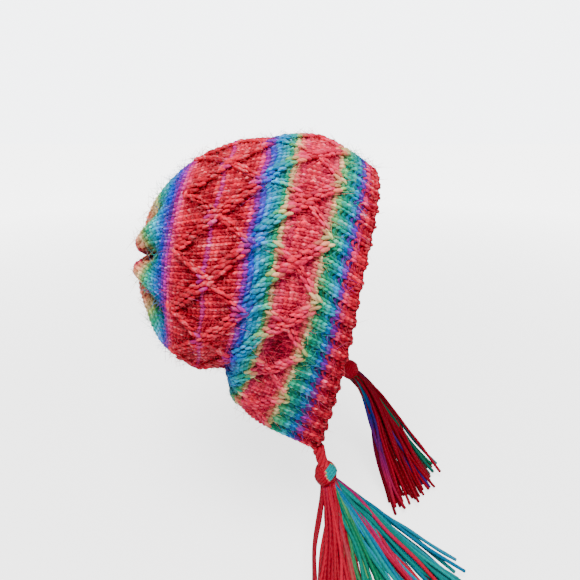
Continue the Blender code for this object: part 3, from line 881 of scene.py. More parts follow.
def backing():
    """A thin closed sheet in the middle of the wall that shuts the holes between the loops, painted
    dark as the shade seen through them.

    Two grids of the knitting's surface, half a millimetre apart, joined round their rims.
    """
    along = np.linspace(0.004, 0.997, CORE_GRID[0])[:, None]
    around = np.linspace(-1.0, 1.0, CORE_GRID[1])[None, :]
    around = around * np.where(along > NAPE, 1.002, 0.997)
    along, around = np.broadcast_arrays(along, around)
    relief = np.where(along > CROSSINGS[0], trellis_ridge(along, around),
                      0.8 * RIB_HEIGHT * np.cos(math.pi * RIBS * (around + 1.0)))
    front, _, _, _ = on_knitting(along, around, relief - CORE_DEPTHS[0])
    back, _, _, _ = on_knitting(along, around, relief - CORE_DEPTHS[1])
    rows, columns = along.shape
    i = np.arange(rows - 1)[:, None]
    j = np.arange(columns - 1)[None, :]
    patch = np.stack((i * columns + j, i * columns + j + 1, (i + 1) * columns + j + 1,
                      (i + 1) * columns + j), axis=-1).reshape(-1, 4)
    size = rows * columns
    down = np.arange(rows)
    over = np.arange(columns)
    rim = np.concatenate((down[::-1] * columns, over[1:],
                          down[1:] * columns + columns - 1,
                          (rows - 1) * columns + over[-2:0:-1]))
    rim_after = np.roll(rim, -1)
    walls = np.stack((rim_after, rim, rim + size, rim_after + size), axis=-1)
    quads = np.concatenate((patch, patch[:, ::-1] + size, walls))
    dye = dye_at(along).ravel()
    uv = np.stack((along * COLUMN_LENGTH, around * 0.23), axis=-1).reshape(-1, 2)
    uv = np.concatenate((uv, uv))
    return {"verts": np.concatenate((front.reshape(-1, 3), back.reshape(-1, 3))), "quads": quads,
            "quad_uv": uv[quads], "tris": np.zeros((0, 3), int), "tri_uv": np.zeros((0, 3, 2)),
            "dye": np.concatenate((dye, dye)), "painted_light_and_tone": np.full(2 * size, CORE_PAINTED_SHADE)}


def drawn_centre(settings):
    """The drawn-up centre at the rear: legs of yarn laid like spokes over the small hole."""
    around = np.linspace(-1.0, 1.0, SPOKES, endpoint=False)
    rim, outward, _, _ = on_knitting(np.full(SPOKES, SPOKE_BEGINS), around,
                                     np.full(SPOKES, -SPOKE_DEPTH))
    middle = rim.mean(axis=0)
    up = unit(outward.mean(axis=0))
    towards = unit(middle - rim)
    reach = np.linalg.norm(middle - rim, axis=1) * SPOKE_REACH
    centres = (rim + middle) / 2 + up * SPOKE_RISE
    ups = np.broadcast_to(up, centres.shape)
    size = np.full(SPOKES, settings.yarn_radius * 1.1)
    return grains(centres, towards, ups, reach, size, size, SPOKE_BOW,
                  np.full(SPOKES, SPOKE_DYE), np.full(SPOKES, SPOKE_PAINTED_LIGHT))


def halo(settings):
    """Loose fibres: short bowed hairs that stand up out of the yarn and lean any way."""
    chance = np.random.default_rng(5)
    count = settings.halo_hairs
    along = 1.0 - np.sqrt(chance.uniform(0.0, 1.0, count)) * 0.999
    even = chance.uniform(0.0, 1.0, count) < HAIRS_EVEN
    along = np.where(even, chance.uniform(0.0, 0.9, count), along)
    around = chance.uniform(-1.0, 1.0, count)
    root, outward, column, row = on_knitting(along, around, chance.uniform(*HAIR_ROOTS, count))
    angle = chance.uniform(0.0, 2 * math.pi, count)[:, None]
    lay = unit(column * np.cos(angle) + row * np.sin(angle))
    rise = chance.uniform(*HAIR_RISES, count)[:, None]
    length = chance.uniform(*HAIR_LENGTHS, count)[:, None] * settings.halo_length
    bend = chance.uniform(*HAIR_BENDS, count)[:, None]
    share = np.linspace(0.0, 1.0, HAIR_POINTS)[None, :, None]
    start = unit(lay + outward * rise)[:, None]
    centres = (root[:, None] + start * (length[:, None] * share)
               + lay[:, None] * (bend * length)[:, None] * share**2 * 0.6)
    ups = np.broadcast_to(outward[:, None] + 0.01, centres.shape)
    shape = (count, HAIR_POINTS)
    radii = np.broadcast_to(settings.halo_radius * (1.0 - 0.7 * share[..., 0]), shape)
    dye = np.broadcast_to(dye_at(along)[:, None], shape)
    # The loose fibres get full painted light all over
    return tubes(centres, ups, radii, HAIR_SIDES, False, dye, np.ones(shape))


def tassel_line(side):
    """Top of the tie, top and foot of the knot, and the direction that they lie along."""
    lean = np.array(Vector(TIE_LEAN[side]).normalized())
    around = np.array((-1.0 if side == "near" else 1.0,))
    along = np.zeros(1)
    rib = RIB_HEIGHT * np.cos(math.pi * RIBS * (around + 1.0))
    outer, _, column, _ = on_knitting(along, around, rib)
    outer = outer - column * SCALLOP
    inner, _, _, _ = on_knitting(along, around, np.full(1, -WALL))
    middle = (outer[0] + inner[0]) / 2
    reach = max(float((corner - middle) @ lean) for corner in (outer[0], inner[0]))
    tie_top = middle + lean * (reach + SEAM_GAP)
    knot_top = tie_top + lean * (TIE_LENGTH + SEAM_GAP)
    knot_foot = knot_top + lean * (2 * KNOT_HALF_HEIGHT)
    return tie_top, knot_top, knot_foot, lean


def cross_axes(lean):
    """Two directions square to the lean and to each other."""
    first = unit(np.cross((0.0, 1.0, 0.0), lean))
    return first, np.cross(lean, first)


def tie_strands(side, settings):
    """The tie: strands laid round its axis that make half a turn on the way to the knot."""
    tie_top, knot_top, _, lean = tassel_line(side)
    first, second = cross_axes(lean)
    start = tie_top - lean * 0.004
    end = knot_top + lean * 0.003
    share = np.linspace(0.0, 1.0, 14)
    parts = []
    for ring, count in ((0.0, 1), (1.0, 6)):
        spin = 2 * math.pi * np.arange(count)[:, None] / count + math.pi * share[None, :]
        reach = ring * (TIE_RADIUS - settings.strand_radius) * (1.0 + 0.12 * np.cos(5.0 * share))
        ups = first * np.cos(spin)[..., None] + second * np.sin(spin)[..., None]
        centres = (start + (end - start) * share[:, None])[None] + ups * reach[None, :, None]
        radii = np.full(spin.shape, settings.strand_radius * 1.12)
        dye = np.full(spin.shape, TIE_DYE)
        painted_light_and_tone = np.full(spin.shape, TIE_PAINTED_LIGHT)
        parts.append(tubes(centres, ups, radii, STRAND_SIDES, False, dye, painted_light_and_tone))
    return parts


def knot_wraps(side, settings):
    """The knot: rings of yarn on an egg, tilted one way below and the other way on top.

    A ring is a circle of latitude about its own tilted axis, stretched to the egg's size.
    """
    _, knot_top, knot_foot, lean = tassel_line(side)
    first, second = cross_axes(lean)
    middle = (knot_top + knot_foot) / 2
    turn = 2 * math.pi * np.arange(KNOT_POINTS) / KNOT_POINTS
    parts = []
    for number, (tilt, swing, fullness, latitudes) in enumerate(KNOT_RINGS):
        leaning = first * math.cos(swing) + second * math.sin(swing)
        pole = unit(lean * math.cos(tilt) + leaning * math.sin(tilt))
        one, other = cross_axes(pole)
        angle = np.radians(latitudes)[:, None, None]
        around = one * np.cos(turn)[:, None] + other * np.sin(turn)[:, None]
        sphere = around[None] * np.cos(angle) + pole * np.sin(angle)
        deep = sphere @ lean
        flat = sphere - deep[..., None] * lean
        inside = settings.strand_radius
        centres = (middle + flat * (KNOT_RADIUS * fullness - inside)
                   + deep[..., None] * lean * (KNOT_HALF_HEIGHT * min(fullness + 0.05, 1.0) - inside))
        radii = np.full(centres.shape[:2], settings.strand_radius * 1.08)
        facing = sphere @ unit(np.array((0.62, -0.60, 0.50)))
        cyan = np.clip((facing - 0.70) / 0.08, 0.0, 1.0) * (number == 1)
        dye = KNOT_DYE - KNOT_PATCH * cyan * (side == "near")
        painted_light_and_tone = np.full(dye.shape, KNOT_PAINTED_LIGHT)
        parts.append(tubes(centres, sphere, radii, STRAND_SIDES, True, dye, painted_light_and_tone))
    return parts


def skirt_strands(side, fan, count, settings):
    """The skirt: strands that leave the knot, fall and run out over the table.

    Each is a cubic curve from the knot's foot, pulled first along the lean and then back from
    its end, with a slow sideways waver.
    """
    seed, brightest = SKIRTS[side]
    chance = np.random.default_rng(seed)
    _, _, knot_foot, lean = tassel_line(side)
    first, second = cross_axes(lean)
    share = (np.arange(count) + 0.5) / count
    degrees = fan[0, 0] + (fan[-1, 0] - fan[0, 0]) * share**1.2 + chance.uniform(-2.5, 2.5, count)
    length = STRAND_LENGTH * chance.uniform(0.93, 1.01, count)
    heading = np.radians(degrees)
    ring = NECK_RADIUS * 0.85 * np.sqrt(chance.uniform(0.0, 1.0, count))
    spin = chance.uniform(0.0, 2 * math.pi, count)
    layer = chance.integers(0, 4, count)
    start = (knot_foot - lean * 0.004 + first * (ring * np.cos(spin))[:, None]
             + second * (ring * np.sin(spin))[:, None])
    away = np.stack((np.cos(heading), np.sin(heading), np.zeros(count)), axis=1)
    table = -TABLE_DROP + settings.strand_radius * (1.0 + 1.5 * layer)
    fall = start[:, 2] - table
    reach = np.sqrt(np.maximum(length**2 - fall**2, 0.0))
    end = start + away * reach[:, None]
    end[:, 2] = table
    first_pull = (start + lean * (ROOT_PULL[0] * fall)[:, None]
                  + away * (ROOT_PULL[1] * reach)[:, None])
    lifted = chance.uniform(*END_LIFT, count) * fall
    last_pull = end - away * (END_PULL * reach)[:, None]
    last_pull[:, 2] += lifted
    t = np.linspace(0.0, 1.0, STRAND_POINTS)[None, :, None]
    path = (start[:, None] * (1 - t)**3 + first_pull[:, None] * (3 * t * (1 - t)**2)
            + last_pull[:, None] * (3 * t**2 * (1 - t)) + end[:, None] * t**3)
    sideways = np.stack((-np.sin(heading), np.cos(heading), np.zeros(count)), axis=1)
    waver = np.stack([wander(50 + k, t[0, :, 0] * 6.0) for k in range(count)])
    path = path + sideways[:, None] * (WAVER * waver * t[..., 0] * (1.2 - t[..., 0]))[..., None]
    path[..., 2] = np.maximum(path[..., 2], table[:, None] * t[..., 0]
                              + (1 - t[..., 0]) * (-TABLE_DROP + settings.strand_radius))
    ups = np.broadcast_to(np.array((0.0, 0.0, 1.0)), path.shape) + away[:, None] * 0.4
    uneven = np.stack([wander(150 + k, t[0, :, 0] * 14.0) for k in range(count)])
    radii = settings.strand_radius * (1.0 + 0.10 * uneven)
    nearest = np.abs(degrees[:, None] + chance.uniform(-5.0, 5.0, (count, 1))
                     - fan[None, :, 0]).argmin(axis=1)
    root = fan[nearest, 1][:, None]
    tip = fan[nearest, 2][:, None]
    dye = root + (tip - root) * t[..., 0] + chance.uniform(-0.03, 0.03, (count, 1))
    dye = np.broadcast_to(dye, path.shape[:2])
    # Painted light of a strand: the skirt's brightest, a random tone for each strand, and darker
    # towards the knot
    painted_light_and_tone = brightest * chance.uniform(0.72, 1.0, (count, 1)) * (0.82 + 0.18 * t[..., 0])
    return tubes(path, ups, radii, STRAND_SIDES, False, dye, painted_light_and_tone)


def add_node(tree, kind, place, inputs=None, **properties):
    """Add a node at a place, and set its properties, then its inputs by name or number."""
    made = tree.nodes.new(kind)
    made.location = place
    for key, value in properties.items():
        setattr(made, key, value)
    for key, value in (inputs or {}).items():
        made.inputs[key].default_value = value
    return made


def wire(tree, *links):
    """Link nodes: each row is a node, its output, the next node and its input."""
    for source, output, target, entry in links:
        tree.links.new(source.outputs[output], target.inputs[entry])


def node_group(name, inputs, outputs):
    """An empty node group with its named sockets, and the nodes that stand for them."""
    group = bpy.data.node_groups.new(name, "ShaderNodeTree")
    for in_out, sockets in (("INPUT", inputs), ("OUTPUT", outputs)):
        for socket, kind in sockets.items():
            group.interface.new_socket(name=socket, in_out=in_out,
                                       socket_type=f"NodeSocket{kind}")
    start = add_node(group, "NodeGroupInput", (-1100, 0))
    end = add_node(group, "NodeGroupOutput", (900, 0))
    return group, start, end


def ply_group():
    """Node group: ridges of a plied yarn and its slubs, from the place along it and round it.

    The height is a sine of the turns along the yarn plus the plies round it, with fine noise
    on top. The streaks are long noise, kept to the ridges.
    """
    group, start, end = node_group(
        "Plied yarn", {"Place": "Vector", "Turns per metre": "Float", "Plies": "Float"},
        {"Height": "Float", "Streaks": "Float"})
    split = add_node(group, "ShaderNodeSeparateXYZ", (-700, 0))
    along = add_node(group, "ShaderNodeMath", (-500, 100), operation="MULTIPLY")
    across = add_node(group, "ShaderNodeMath", (-500, -100), operation="MULTIPLY")
    both = add_node(group, "ShaderNodeMath", (-300, 0), operation="ADD")
    full = add_node(group, "ShaderNodeMath", (-150, 0), {1: 2 * math.pi}, operation="MULTIPLY")
    wave = add_node(group, "ShaderNodeMath", (0, 0), operation="SINE")
    ply = add_node(group, "ShaderNodeMapRange", (150, -50), {"From Min": -1.0})
    fine = add_node(group, "ShaderNodeVectorMath", (-500, -350), {1: (700.0, 9.0, 1.0)},
                    operation="MULTIPLY")
    fibre = add_node(group, "ShaderNodeTexNoise", (-300, -350), {"Scale": 1.0, "Detail": 3.0})
    height = add_node(group, "ShaderNodeMath", (450, 100), {1: 0.6}, operation="MULTIPLY_ADD")
    coarse = add_node(group, "ShaderNodeVectorMath", (-500, -600), {1: (330.0, 2.5, 1.0)},
                      operation="MULTIPLY")
    slub = add_node(group, "ShaderNodeTexNoise", (-300, -600), {"Scale": 1.0, "Detail": 2.0})
    streak = add_node(group, "ShaderNodeMapRange", (-100, -600),
                      {"From Min": 0.46, "From Max": 0.70})
    share = add_node(group, "ShaderNodeMapRange", (300, -250), {"To Min": 0.35})
    patchy = add_node(group, "ShaderNodeMath", (500, -400), operation="MULTIPLY")
    wire(group,
         (start, "Place", split, 0),
         (split, "X", along, 0),
         (start, "Turns per metre", along, 1),
         (split, "Y", across, 0),
         (start, "Plies", across, 1),
         (along, 0, both, 0),
         (across, 0, both, 1),
         (both, 0, full, 0),
         (full, 0, wave, 0),
         (wave, 0, ply, "Value"),
         (start, "Place", fine, 0),
         (fine, 0, fibre, "Vector"),
         (fibre, "Fac", height, 0),
         (ply, 0, height, 2),
         (start, "Place", coarse, 0),
         (coarse, 0, slub, "Vector"),
         (slub, "Fac", streak, "Value"),
         (ply, 0, share, "Value"),
         (share, 0, patchy, 0),
         (streak, 0, patchy, 1),
         (height, 0, end, "Height"),
         (patchy, 0, end, "Streaks"))
    return group


def fill_ramp(ramp, stops):
    """Set a ramp's stops, given as places and colours in order."""
    band = ramp.color_ramp
    while len(band.elements) < len(stops):
        band.elements.new(1.0)
    for element, (place, colour) in zip(band.elements, stops):
        element.position = place
        element.color = (*colour, 1.0)


def dye_group(colours):
    """Node group: the yarn's colour from its place in the dye sequence, its streaks and its painted
    light.

    The dye is paled towards the highlight colour where streaks, painted light and a patchy noise
    are high: partly a lighter ply, partly a painted highlight on the tops. The whole is multiplied
    by a power of the painted light, which paints the shade where the yarn sinks in.
    """
    group, start, end = node_group(
        "Self-striping dye",
        {"Dye": "Float", "Streaks": "Float", "Lift": "Float", "Paleness": "Float"},
        {"Colour": "Color"})
    cycle = add_node(group, "ShaderNodeMath", (-900, 200), operation="FRACT")
    ramp = add_node(group, "ShaderNodeValToRGB", (-700, 300))
    fill_ramp(ramp, (
        (0.00, colours.red),
        (0.05, colours.pink),
        (0.11, colours.magenta),
        (0.18, colours.violet),
        (0.26, colours.blue),
        (0.33, colours.cyan),
        (0.40, colours.teal),
        (0.47, colours.green),
        (0.54, colours.lime),
        (0.58, colours.cream),
        (0.66, colours.salmon),
        (0.76, colours.pink),
        (0.86, colours.red),
        (0.94, colours.crimson),
        (1.00, colours.red),
    ))
    place = add_node(group, "ShaderNodeTexCoord", (-1100, -400))
    patch = add_node(group, "ShaderNodeTexNoise", (-900, -400), {"Scale": 130.0, "Detail": 2.0})
    spots = add_node(group, "ShaderNodeMapRange", (-700, -400),
                     {"From Min": 0.35, "From Max": 0.65, "To Min": 0.35})
    # Painted highlight: the paling is kept to the tops, where the painted light is high, in patches
    top = add_node(group, "ShaderNodeMapRange", (-700, -150),
                   {"From Min": 0.55, "From Max": 1.05})
    strength = add_node(group, "ShaderNodeMath", (-500, -200), operation="MULTIPLY")
    lit_top_patches = add_node(group, "ShaderNodeMath", (-350, -300), operation="MULTIPLY")
    pale = add_node(group, "ShaderNodeMath", (-200, -200), operation="MULTIPLY", use_clamp=True)
    # Pale colour of the lighter ply and of the painted highlight
    pale_ply_and_highlight = add_node(group, "ShaderNodeMix", (-300, 100),
                        {"Factor": 0.50, "B": (*colours.highlight, 1.0)}, data_type="RGBA")
    tint = add_node(group, "ShaderNodeMix", (0, 100), data_type="RGBA")
    # Painted shade: the colour is multiplied by a power of the painted light
    depth = add_node(group, "ShaderNodeMath", (0, -250), {1: 1.8}, operation="POWER")
    grey = add_node(group, "ShaderNodeCombineColor", (250, -200))
    dim = add_node(group, "ShaderNodeMix", (600, 0), {"Factor": 1.0}, data_type="RGBA",
                   blend_type="MULTIPLY")
    wire(group,
         (start, "Dye", cycle, 0),
         (cycle, 0, ramp, "Fac"),
         (place, "Object", patch, "Vector"),
         (patch, "Fac", spots, "Value"),
         (start, "Lift", top, "Value"),
         (spots, 0, strength, 0),
         (start, "Paleness", strength, 1),
         (top, 0, lit_top_patches, 0),
         (strength, 0, lit_top_patches, 1),
         (lit_top_patches, 0, pale, 0),
         (start, "Streaks", pale, 1),
         (ramp, "Color", pale_ply_and_highlight, "A"),
         (pale, 0, tint, "Factor"),
         (ramp, "Color", tint, "A"),
         (pale_ply_and_highlight, "Result", tint, "B"),
         (start, "Lift", depth, 0),
         (depth, 0, grey, "Red"),
         (depth, 0, grey, "Green"),
         (depth, 0, grey, "Blue"),
         (tint, "Result", dim, "A"),
         (grey, 0, dim, "B"),
         (dim, "Result", end, "Colour"))
    return group


def new_material(name, inputs):
    """A material with its own nodes, and its shader with the given plain inputs."""
    made = bpy.data.materials.new(name)
    made.use_nodes = True
    shader = made.node_tree.nodes["Principled BSDF"]
    for key, value in inputs.items():
        shader.inputs[key].default_value = value
    return made, made.node_tree, shader


def yarn_material(name, roughness, paleness, bump, turns, sheen):
    """Wool that takes its dye and painted light from the piece, with plied ridges and the sheen
    given.
    """
    made, tree, shader = new_material(name, {
        "Roughness": roughness,
        "Sheen Weight": sheen,
        "Sheen Roughness": 0.4,
        "Sheen Tint": (1.0, 0.75, 0.80, 1.0),
        "Specular IOR Level": 0.07,
    })
    place = add_node(tree, "ShaderNodeUVMap", (-1100, -200), uv_map="yarn")
    dye = add_node(tree, "ShaderNodeAttribute", (-1100, 300), attribute_name="dye")
    painted_light_and_tone = add_node(tree, "ShaderNodeAttribute", (-1100, 100), attribute_name="painted_light_and_tone")
    ply = add_node(tree, "ShaderNodeGroup", (-850, -200),
                   {"Turns per metre": turns, "Plies": 2.0},
                   node_tree=bpy.data.node_groups["Plied yarn"])
    colour = add_node(tree, "ShaderNodeGroup", (-550, 200), {"Paleness": paleness},
                      node_tree=bpy.data.node_groups["Self-striping dye"])
    relief = add_node(tree, "ShaderNodeBump", (-350, -250), {"Distance": bump})
    wire(tree,
         (place, 0, ply, "Place"),
         (ply, "Streaks", colour, "Streaks"),
         (dye, "Fac", colour, "Dye"),
         (painted_light_and_tone, "Fac", colour, "Lift"),
         (ply, "Height", relief, "Height"),
         (colour, "Colour", shader, "Base Color"),
         (relief, "Normal", shader, "Normal"))
    return made


def floor_material(settings):
    """Pale matt paper with a faint tooth, that glows for the camera only and more so afar, so that it
    fades to white.
    """
    made, tree, shader = new_material("studio_paper", {
        "Base Color": (*settings.floor_colour, 1.0),
        "Roughness": 0.9,
        "Specular IOR Level": 0.1,
    })
    place = add_node(tree, "ShaderNodeTexCoord", (-1100, -200))
    tooth = add_node(tree, "ShaderNodeTexNoise", (-700, -200), {"Scale": 600.0, "Detail": 3.0})
    relief = add_node(tree, "ShaderNodeBump", (-400, -200), {"Distance": 0.00005})
    afar = add_node(tree, "ShaderNodeVectorMath", (-900, 200), operation="LENGTH")
    fade = add_node(tree, "ShaderNodeMapRange", (-700, 200),
                    {"From Min": 0.25, "From Max": 1.6, "To Min": 0.42})
    glow = add_node(tree, "ShaderNodeCombineColor", (-450, 200))
    seen = add_node(tree, "ShaderNodeLightPath", (-700, 600))
    strength = add_node(tree, "ShaderNodeMath", (-450, 500), {1: settings.floor_glow},
                        operation="MULTIPLY")
    wire(tree,
         (place, "Object", tooth, "Vector"),
         (tooth, "Fac", relief, "Height"),
         (relief, "Normal", shader, "Normal"),
         (place, "Object", afar, 0),
         (afar, "Value", fade, "Value"),
         (fade, 0, glow, "Red"),
         (fade, 0, glow, "Green"),
         (fade, 0, glow, "Blue"),
         (glow, 0, shader, "Emission Color"),
         (seen, "Is Camera Ray", strength, 0),
         (strength, 0, shader, "Emission Strength"))
    return made


def length_value(name, description, default):
    """A length that the user may set, in metres."""
    return bpy.props.FloatProperty(name=name, description=description, default=default,
                                   min=0.0, precision=5, unit="LENGTH")


def colour_value(name, description, default):
    """A linear colour that the user may set."""
    return bpy.props.FloatVectorProperty(name=name, description=description, default=default,
                                         size=3, min=0.0, max=1.0, subtype="COLOR")


class BEANIE_PG_knitting(bpy.types.PropertyGroup):
    """Sizes of the yarn and its loops."""

    yarn_radius: length_value("Yarn radius", "Half the thickness of the knitted yarn", 0.00112)
    loop_depth: length_value("Loop depth", "How far a leg stands in front of its head", 0.00080)
    cable_pitch: length_value("Cable pitch", "Length of one travelling stitch", 0.0047)
    leg_width: length_value("Leg width", "From one file of a cable to the next", 0.0021)
    cable_height: length_value("Cable height", "Height of the cable over the ground", 0.0004)
    edge_pitch: length_value("Edge pitch", "From one turn of the edge yarn to the next", 0.0031)
    edge_reach: length_value("Edge reach", "Radius that the edge yarn winds at", 0.0008)
    halo_length: length_value("Halo length", "Length of the longest loose fibre", 0.0100)
    halo_radius: length_value("Halo radius", "Half the thickness of a loose fibre", 0.00013)
    halo_hairs: bpy.props.IntProperty(name="Halo hairs", description="Number of loose fibres",
                                      default=4600, min=0)


class BEANIE_PG_tassels(bpy.types.PropertyGroup):
    """Sizes of the ties, knots and tassels."""

    strand_radius: length_value("Strand radius", "Half the thickness of a loose strand", 0.00125)
    near_strands: bpy.props.IntProperty(name="Near strands", description="Strands of the near tassel",
                                        default=124, min=1)
    far_strands: bpy.props.IntProperty(name="Far strands", description="Strands of the far tassel",
                                       default=88, min=1)


class BEANIE_PG_colours(bpy.types.PropertyGroup):
    """Colours of the self-striping yarn, in the order that they follow each other."""

    red: colour_value("Red", "Main red", (0.90, 0.003, 0.050))
    pink: colour_value("Pink", "Warm pink", (0.95, 0.020, 0.150))
    magenta: colour_value("Magenta", "Magenta after the pink", (0.55, 0.006, 0.260))
    violet: colour_value("Violet", "Violet after the magenta", (0.180, 0.008, 0.420))
    blue: colour_value("Blue", "Strong blue", (0.004, 0.050, 0.600))
    cyan: colour_value("Cyan", "Bright cyan", (0.000, 0.340, 0.740))
    teal: colour_value("Teal", "Teal after the cyan", (0.000, 0.440, 0.420))
    green: colour_value("Green", "Fresh green", (0.006, 0.460, 0.200))
    lime: colour_value("Lime", "Yellow green", (0.380, 0.660, 0.160))
    cream: colour_value("Cream", "Yellow cream", (0.900, 0.700, 0.320))
    salmon: colour_value("Salmon", "Salmon between cream and pink", (0.930, 0.220, 0.130))
    crimson: colour_value("Crimson", "Deep red", (0.56, 0.001, 0.022))
    # Pale colour of the lighter ply, also used for the painted highlight on the tops
    highlight: colour_value("Highlight", "Bleached fibre in the ply", (1.00, 0.78, 0.80))


class BEANIE_PG_studio(bpy.types.PropertyGroup):
    """Floor, light and camera."""

    floor_size: length_value("Floor size", "Side of the square floor", 12.0)
    floor_colour: colour_value("Floor colour", "Colour of the paper", (0.88, 0.88, 0.89))
    # The floor's glow is seen by the camera only and lights nothing
    floor_glow: bpy.props.FloatProperty(name="Floor glow", description="Brightness from behind",
                                        default=5.2, min=0.0)
    sky_colour: colour_value("Sky colour", "Colour of the light from all round", (0.95, 0.97, 1.0))
    sky_strength: bpy.props.FloatProperty(name="Sky strength", description="Light from all round",
                                          default=0.26, min=0.0)
    backdrop: bpy.props.FloatProperty(name="Backdrop", description="Brightness of the background",
                                      default=5.5, min=0.0)
    key_watts: bpy.props.FloatProperty(name="Key light", description="Large soft light above",
                                       default=29.0, min=0.0, unit="POWER")
    fill_watts: bpy.props.FloatProperty(name="Fill light", description="Soft light from the right",
                                        default=2.5, min=0.0, unit="POWER")


class BEANIE_OT_yarns(bpy.types.Operator):
    """Mix the yarn's materials and their shared node groups."""

    bl_idname = "beanie.yarns"
    bl_label = "Yarns"

    def execute(self, context):
        """Build the node groups, then each material."""
        ply_group()
        dye_group(context.scene.beanie_colours)
        for name, finish in WOOLS.items():
            yarn_material(name, *finish)
        return {"FINISHED"}


class BEANIE_OT_band(bpy.types.Operator):
    """Knit the ribbed face band."""

    bl_idname = "beanie.band"
    bl_label = "Face band"

    def execute(self, context):
        """Knit the first courses, two knit wales and one purl in turn."""
        settings = context.scene.beanie_knitting
        parts = [course(number, settings) for number in range(BAND_COURSES)]
        make_piece("ribbed_band", parts, bpy.data.materials["striped_wool"],
                   ("face_band",))
        return {"FINISHED"}


class BEANIE_OT_crown(bpy.types.Operator):
    """Knit the crown in three stretches of courses."""

    bl_idname = "beanie.crown"
    bl_label = "Crown"

    def execute(self, context):
        """Knit every course from the band to the centre."""
        settings = context.scene.beanie_knitting
        stretches = (("flap_courses", BAND_COURSES, 25), ("side_courses", 25, 42),
                     ("rear_courses", 42, COURSES))
        for name, begin, end in stretches:
            parts = [course(number, settings) for number in range(begin, end)]
            if end == COURSES:
                parts.append(drawn_centre(settings))
            make_piece(name, parts, bpy.data.materials["striped_wool"],
                       ("knit_crown",))
        return {"FINISHED"}


class BEANIE_OT_cables(bpy.types.Operator):
    """Lay the travelling cables of the trellis over the crown."""

    bl_idname = "beanie.cables"
    bl_label = "Cables"

    def execute(self, context):
        """Place the slanted legs of every travelling line."""
        parts = cable_legs(context.scene.beanie_knitting)
        make_piece("travelling_cables", parts, bpy.data.materials["cable_wool"])
        return {"FINISHED"}


class BEANIE_OT_edges(bpy.types.Operator):
    """Wind the cast-on edge and the selvages, and back the loops."""

    bl_idname = "beanie.edges"
    bl_label = "Edges"

    def execute(self, context):
        """Make the wound rim and the sheet inside the wall."""
        settings = context.scene.beanie_knitting
        make_piece("wound_rim", [wound_edge(settings)], bpy.data.materials["striped_wool"])
        make_piece("painted_shade_sheet", [backing()], bpy.data.materials["shade_sheet_wool"])
        return {"FINISHED"}


class BEANIE_OT_halo(bpy.types.Operator):
    """Raise the loose fibres of the yarn."""

    bl_idname = "beanie.halo"
    bl_label = "Halo"

    def execute(self, context):
        """Scatter the hairs over the hat."""
        make_piece("fibre_halo", [halo(context.scene.beanie_knitting)],
                   bpy.data.materials["halo_fibre"])
        return {"FINISHED"}


class BEANIE_OT_tassels(bpy.types.Operator):
    """Make the tie, the knot and the skirt of each tassel."""

    bl_idname = "beanie.tassels"
    bl_label = "Tassels"

    def execute(self, context):
        """Make both tassels, the near one first."""
        settings = context.scene.beanie_tassels
        wool = bpy.data.materials["tassel_wool"]
        tassels = (("near", NEAR_FAN, settings.near_strands, "teal_yarn"),
                   ("far", FAR_FAN, settings.far_strands, "crimson_yarn"))
        for side, fan, count, slot in tassels:
            make_piece(f"{side}_tie_strands", tie_strands(side, settings), wool,
                       (f"{side}_tie",))
            make_piece(f"{side}_knot_wraps", knot_wraps(side, settings), wool,
                       (f"{side}_knot",))
            make_piece(f"{side}_skirt", [skirt_strands(side, fan, count, settings)], wool,
                       (f"{side}_tassel",))
        return {"FINISHED"}


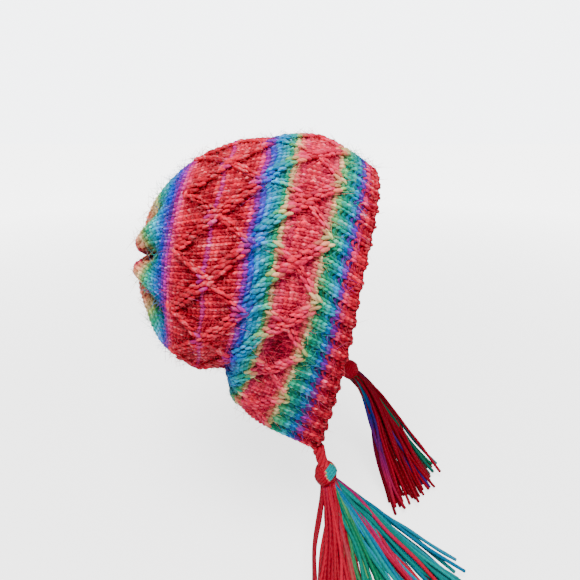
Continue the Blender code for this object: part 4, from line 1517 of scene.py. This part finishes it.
class BEANIE_OT_studio(bpy.types.Operator):
    """Lay the floor, hang the lights and set the camera."""

    bl_idname = "beanie.studio"
    bl_label = "Studio"

    def area_light(self, context, name, place, size, watts, colour):
        """A square light that faces the hat."""
        data = bpy.data.lights.new(name, "AREA")
        data.size = size
        data.energy = watts
        data.color = colour
        lamp = bpy.data.objects.new(name, data)
        lamp.location = place
        aim = Vector(CAMERA_AIM) - Vector(place)
        lamp.rotation_euler = aim.to_track_quat("-Z", "Y").to_euler()
        context.scene.collection.objects.link(lamp)

    def execute(self, context):
        """Make the floor, the sky, two area lights and the camera."""
        settings = context.scene.beanie_studio
        half = settings.floor_size / 2
        mesh = bpy.data.meshes.new("studio_floor")
        corners = [(-half, -half, -TABLE_DROP), (half, -half, -TABLE_DROP),
                   (half, half, -TABLE_DROP), (-half, half, -TABLE_DROP)]
        mesh.from_pydata(corners, [], [(0, 1, 2, 3)])
        mesh.materials.append(floor_material(settings))
        floor = bpy.data.objects.new("studio_floor", mesh)
        context.scene.collection.objects.link(floor)
        world = bpy.data.worlds.new("studio_sky")
        world.use_nodes = True
        tree = world.node_tree
        tint = (*settings.sky_colour, 1.0)
        sky = tree.nodes["Background"]
        sky.inputs["Color"].default_value = tint
        sky.inputs["Strength"].default_value = settings.sky_strength
        backdrop = add_node(tree, "ShaderNodeBackground", (-100, -200),
                            {"Color": tint, "Strength": settings.backdrop})
        seen = add_node(tree, "ShaderNodeLightPath", (-100, 300))
        pick = add_node(tree, "ShaderNodeMixShader", (200, 0))
        wire(tree,
             (seen, "Is Camera Ray", pick, "Fac"),
             (sky, 0, pick, 1),
             (backdrop, 0, pick, 2),
             (pick, 0, tree.nodes["World Output"], "Surface"))
        context.scene.world = world
        self.area_light(context, "key_light", (-0.10, -0.55, 1.00), 0.7, settings.key_watts,
                        (1.0, 0.98, 0.95))
        self.area_light(context, "fill_light", (1.0, -0.5, 0.3), 0.8, settings.fill_watts,
                        (0.93, 0.97, 1.0))
        lens = bpy.data.cameras.new("camera")
        lens.lens = CAMERA_LENS
        lens.clip_start = 0.01
        camera = bpy.data.objects.new("camera", lens)
        camera.location = CAMERA_PLACE
        aim = Vector(CAMERA_AIM) - Vector(CAMERA_PLACE)
        camera.rotation_euler = aim.to_track_quat("-Z", "Y").to_euler()
        context.scene.collection.objects.link(camera)
        context.scene.camera = camera
        return {"FINISHED"}


class BEANIE_PT_sidebar(bpy.types.Panel):
    """Lists the pieces of the beanie."""

    bl_idname = "BEANIE_PT_sidebar"
    bl_label = "Knitted Beanie"
    bl_space_type = "VIEW_3D"
    bl_region_type = "UI"
    bl_category = "Beanie"

    def draw(self, context):
        """Draw each group of settings, then a button for each operator."""
        for group in GROUPS:
            settings = getattr(context.scene, group)
            box = self.layout.box()
            for name in settings.__annotations__:
                box.prop(settings, name)
        for operator in OPERATORS:
            self.layout.operator(operator.bl_idname)


GROUPS = {
    "beanie_knitting": BEANIE_PG_knitting,
    "beanie_tassels": BEANIE_PG_tassels,
    "beanie_colours": BEANIE_PG_colours,
    "beanie_studio": BEANIE_PG_studio,
}
OPERATORS = (BEANIE_OT_yarns, BEANIE_OT_band, BEANIE_OT_crown, BEANIE_OT_cables,
             BEANIE_OT_edges, BEANIE_OT_halo, BEANIE_OT_tassels, BEANIE_OT_studio)


def register():
    """Register the settings, the operators and the panel."""
    for name, group in GROUPS.items():
        bpy.utils.register_class(group)
        setattr(bpy.types.Scene, name, bpy.props.PointerProperty(type=group))
    for operator in OPERATORS:
        bpy.utils.register_class(operator)
    bpy.utils.register_class(BEANIE_PT_sidebar)


def unregister():
    """Take everything back that register added."""
    bpy.utils.unregister_class(BEANIE_PT_sidebar)
    for operator in reversed(OPERATORS):
        bpy.utils.unregister_class(operator)
    for name, group in GROUPS.items():
        delattr(bpy.types.Scene, name)
        bpy.utils.unregister_class(group)


def main():
    """Make every piece in order."""
    register()
    bpy.ops.beanie.yarns()
    bpy.ops.beanie.band()
    bpy.ops.beanie.crown()
    bpy.ops.beanie.cables()
    bpy.ops.beanie.edges()
    bpy.ops.beanie.halo()
    bpy.ops.beanie.tassels()
    bpy.ops.beanie.studio()


if __name__ == "__main__":
    main()
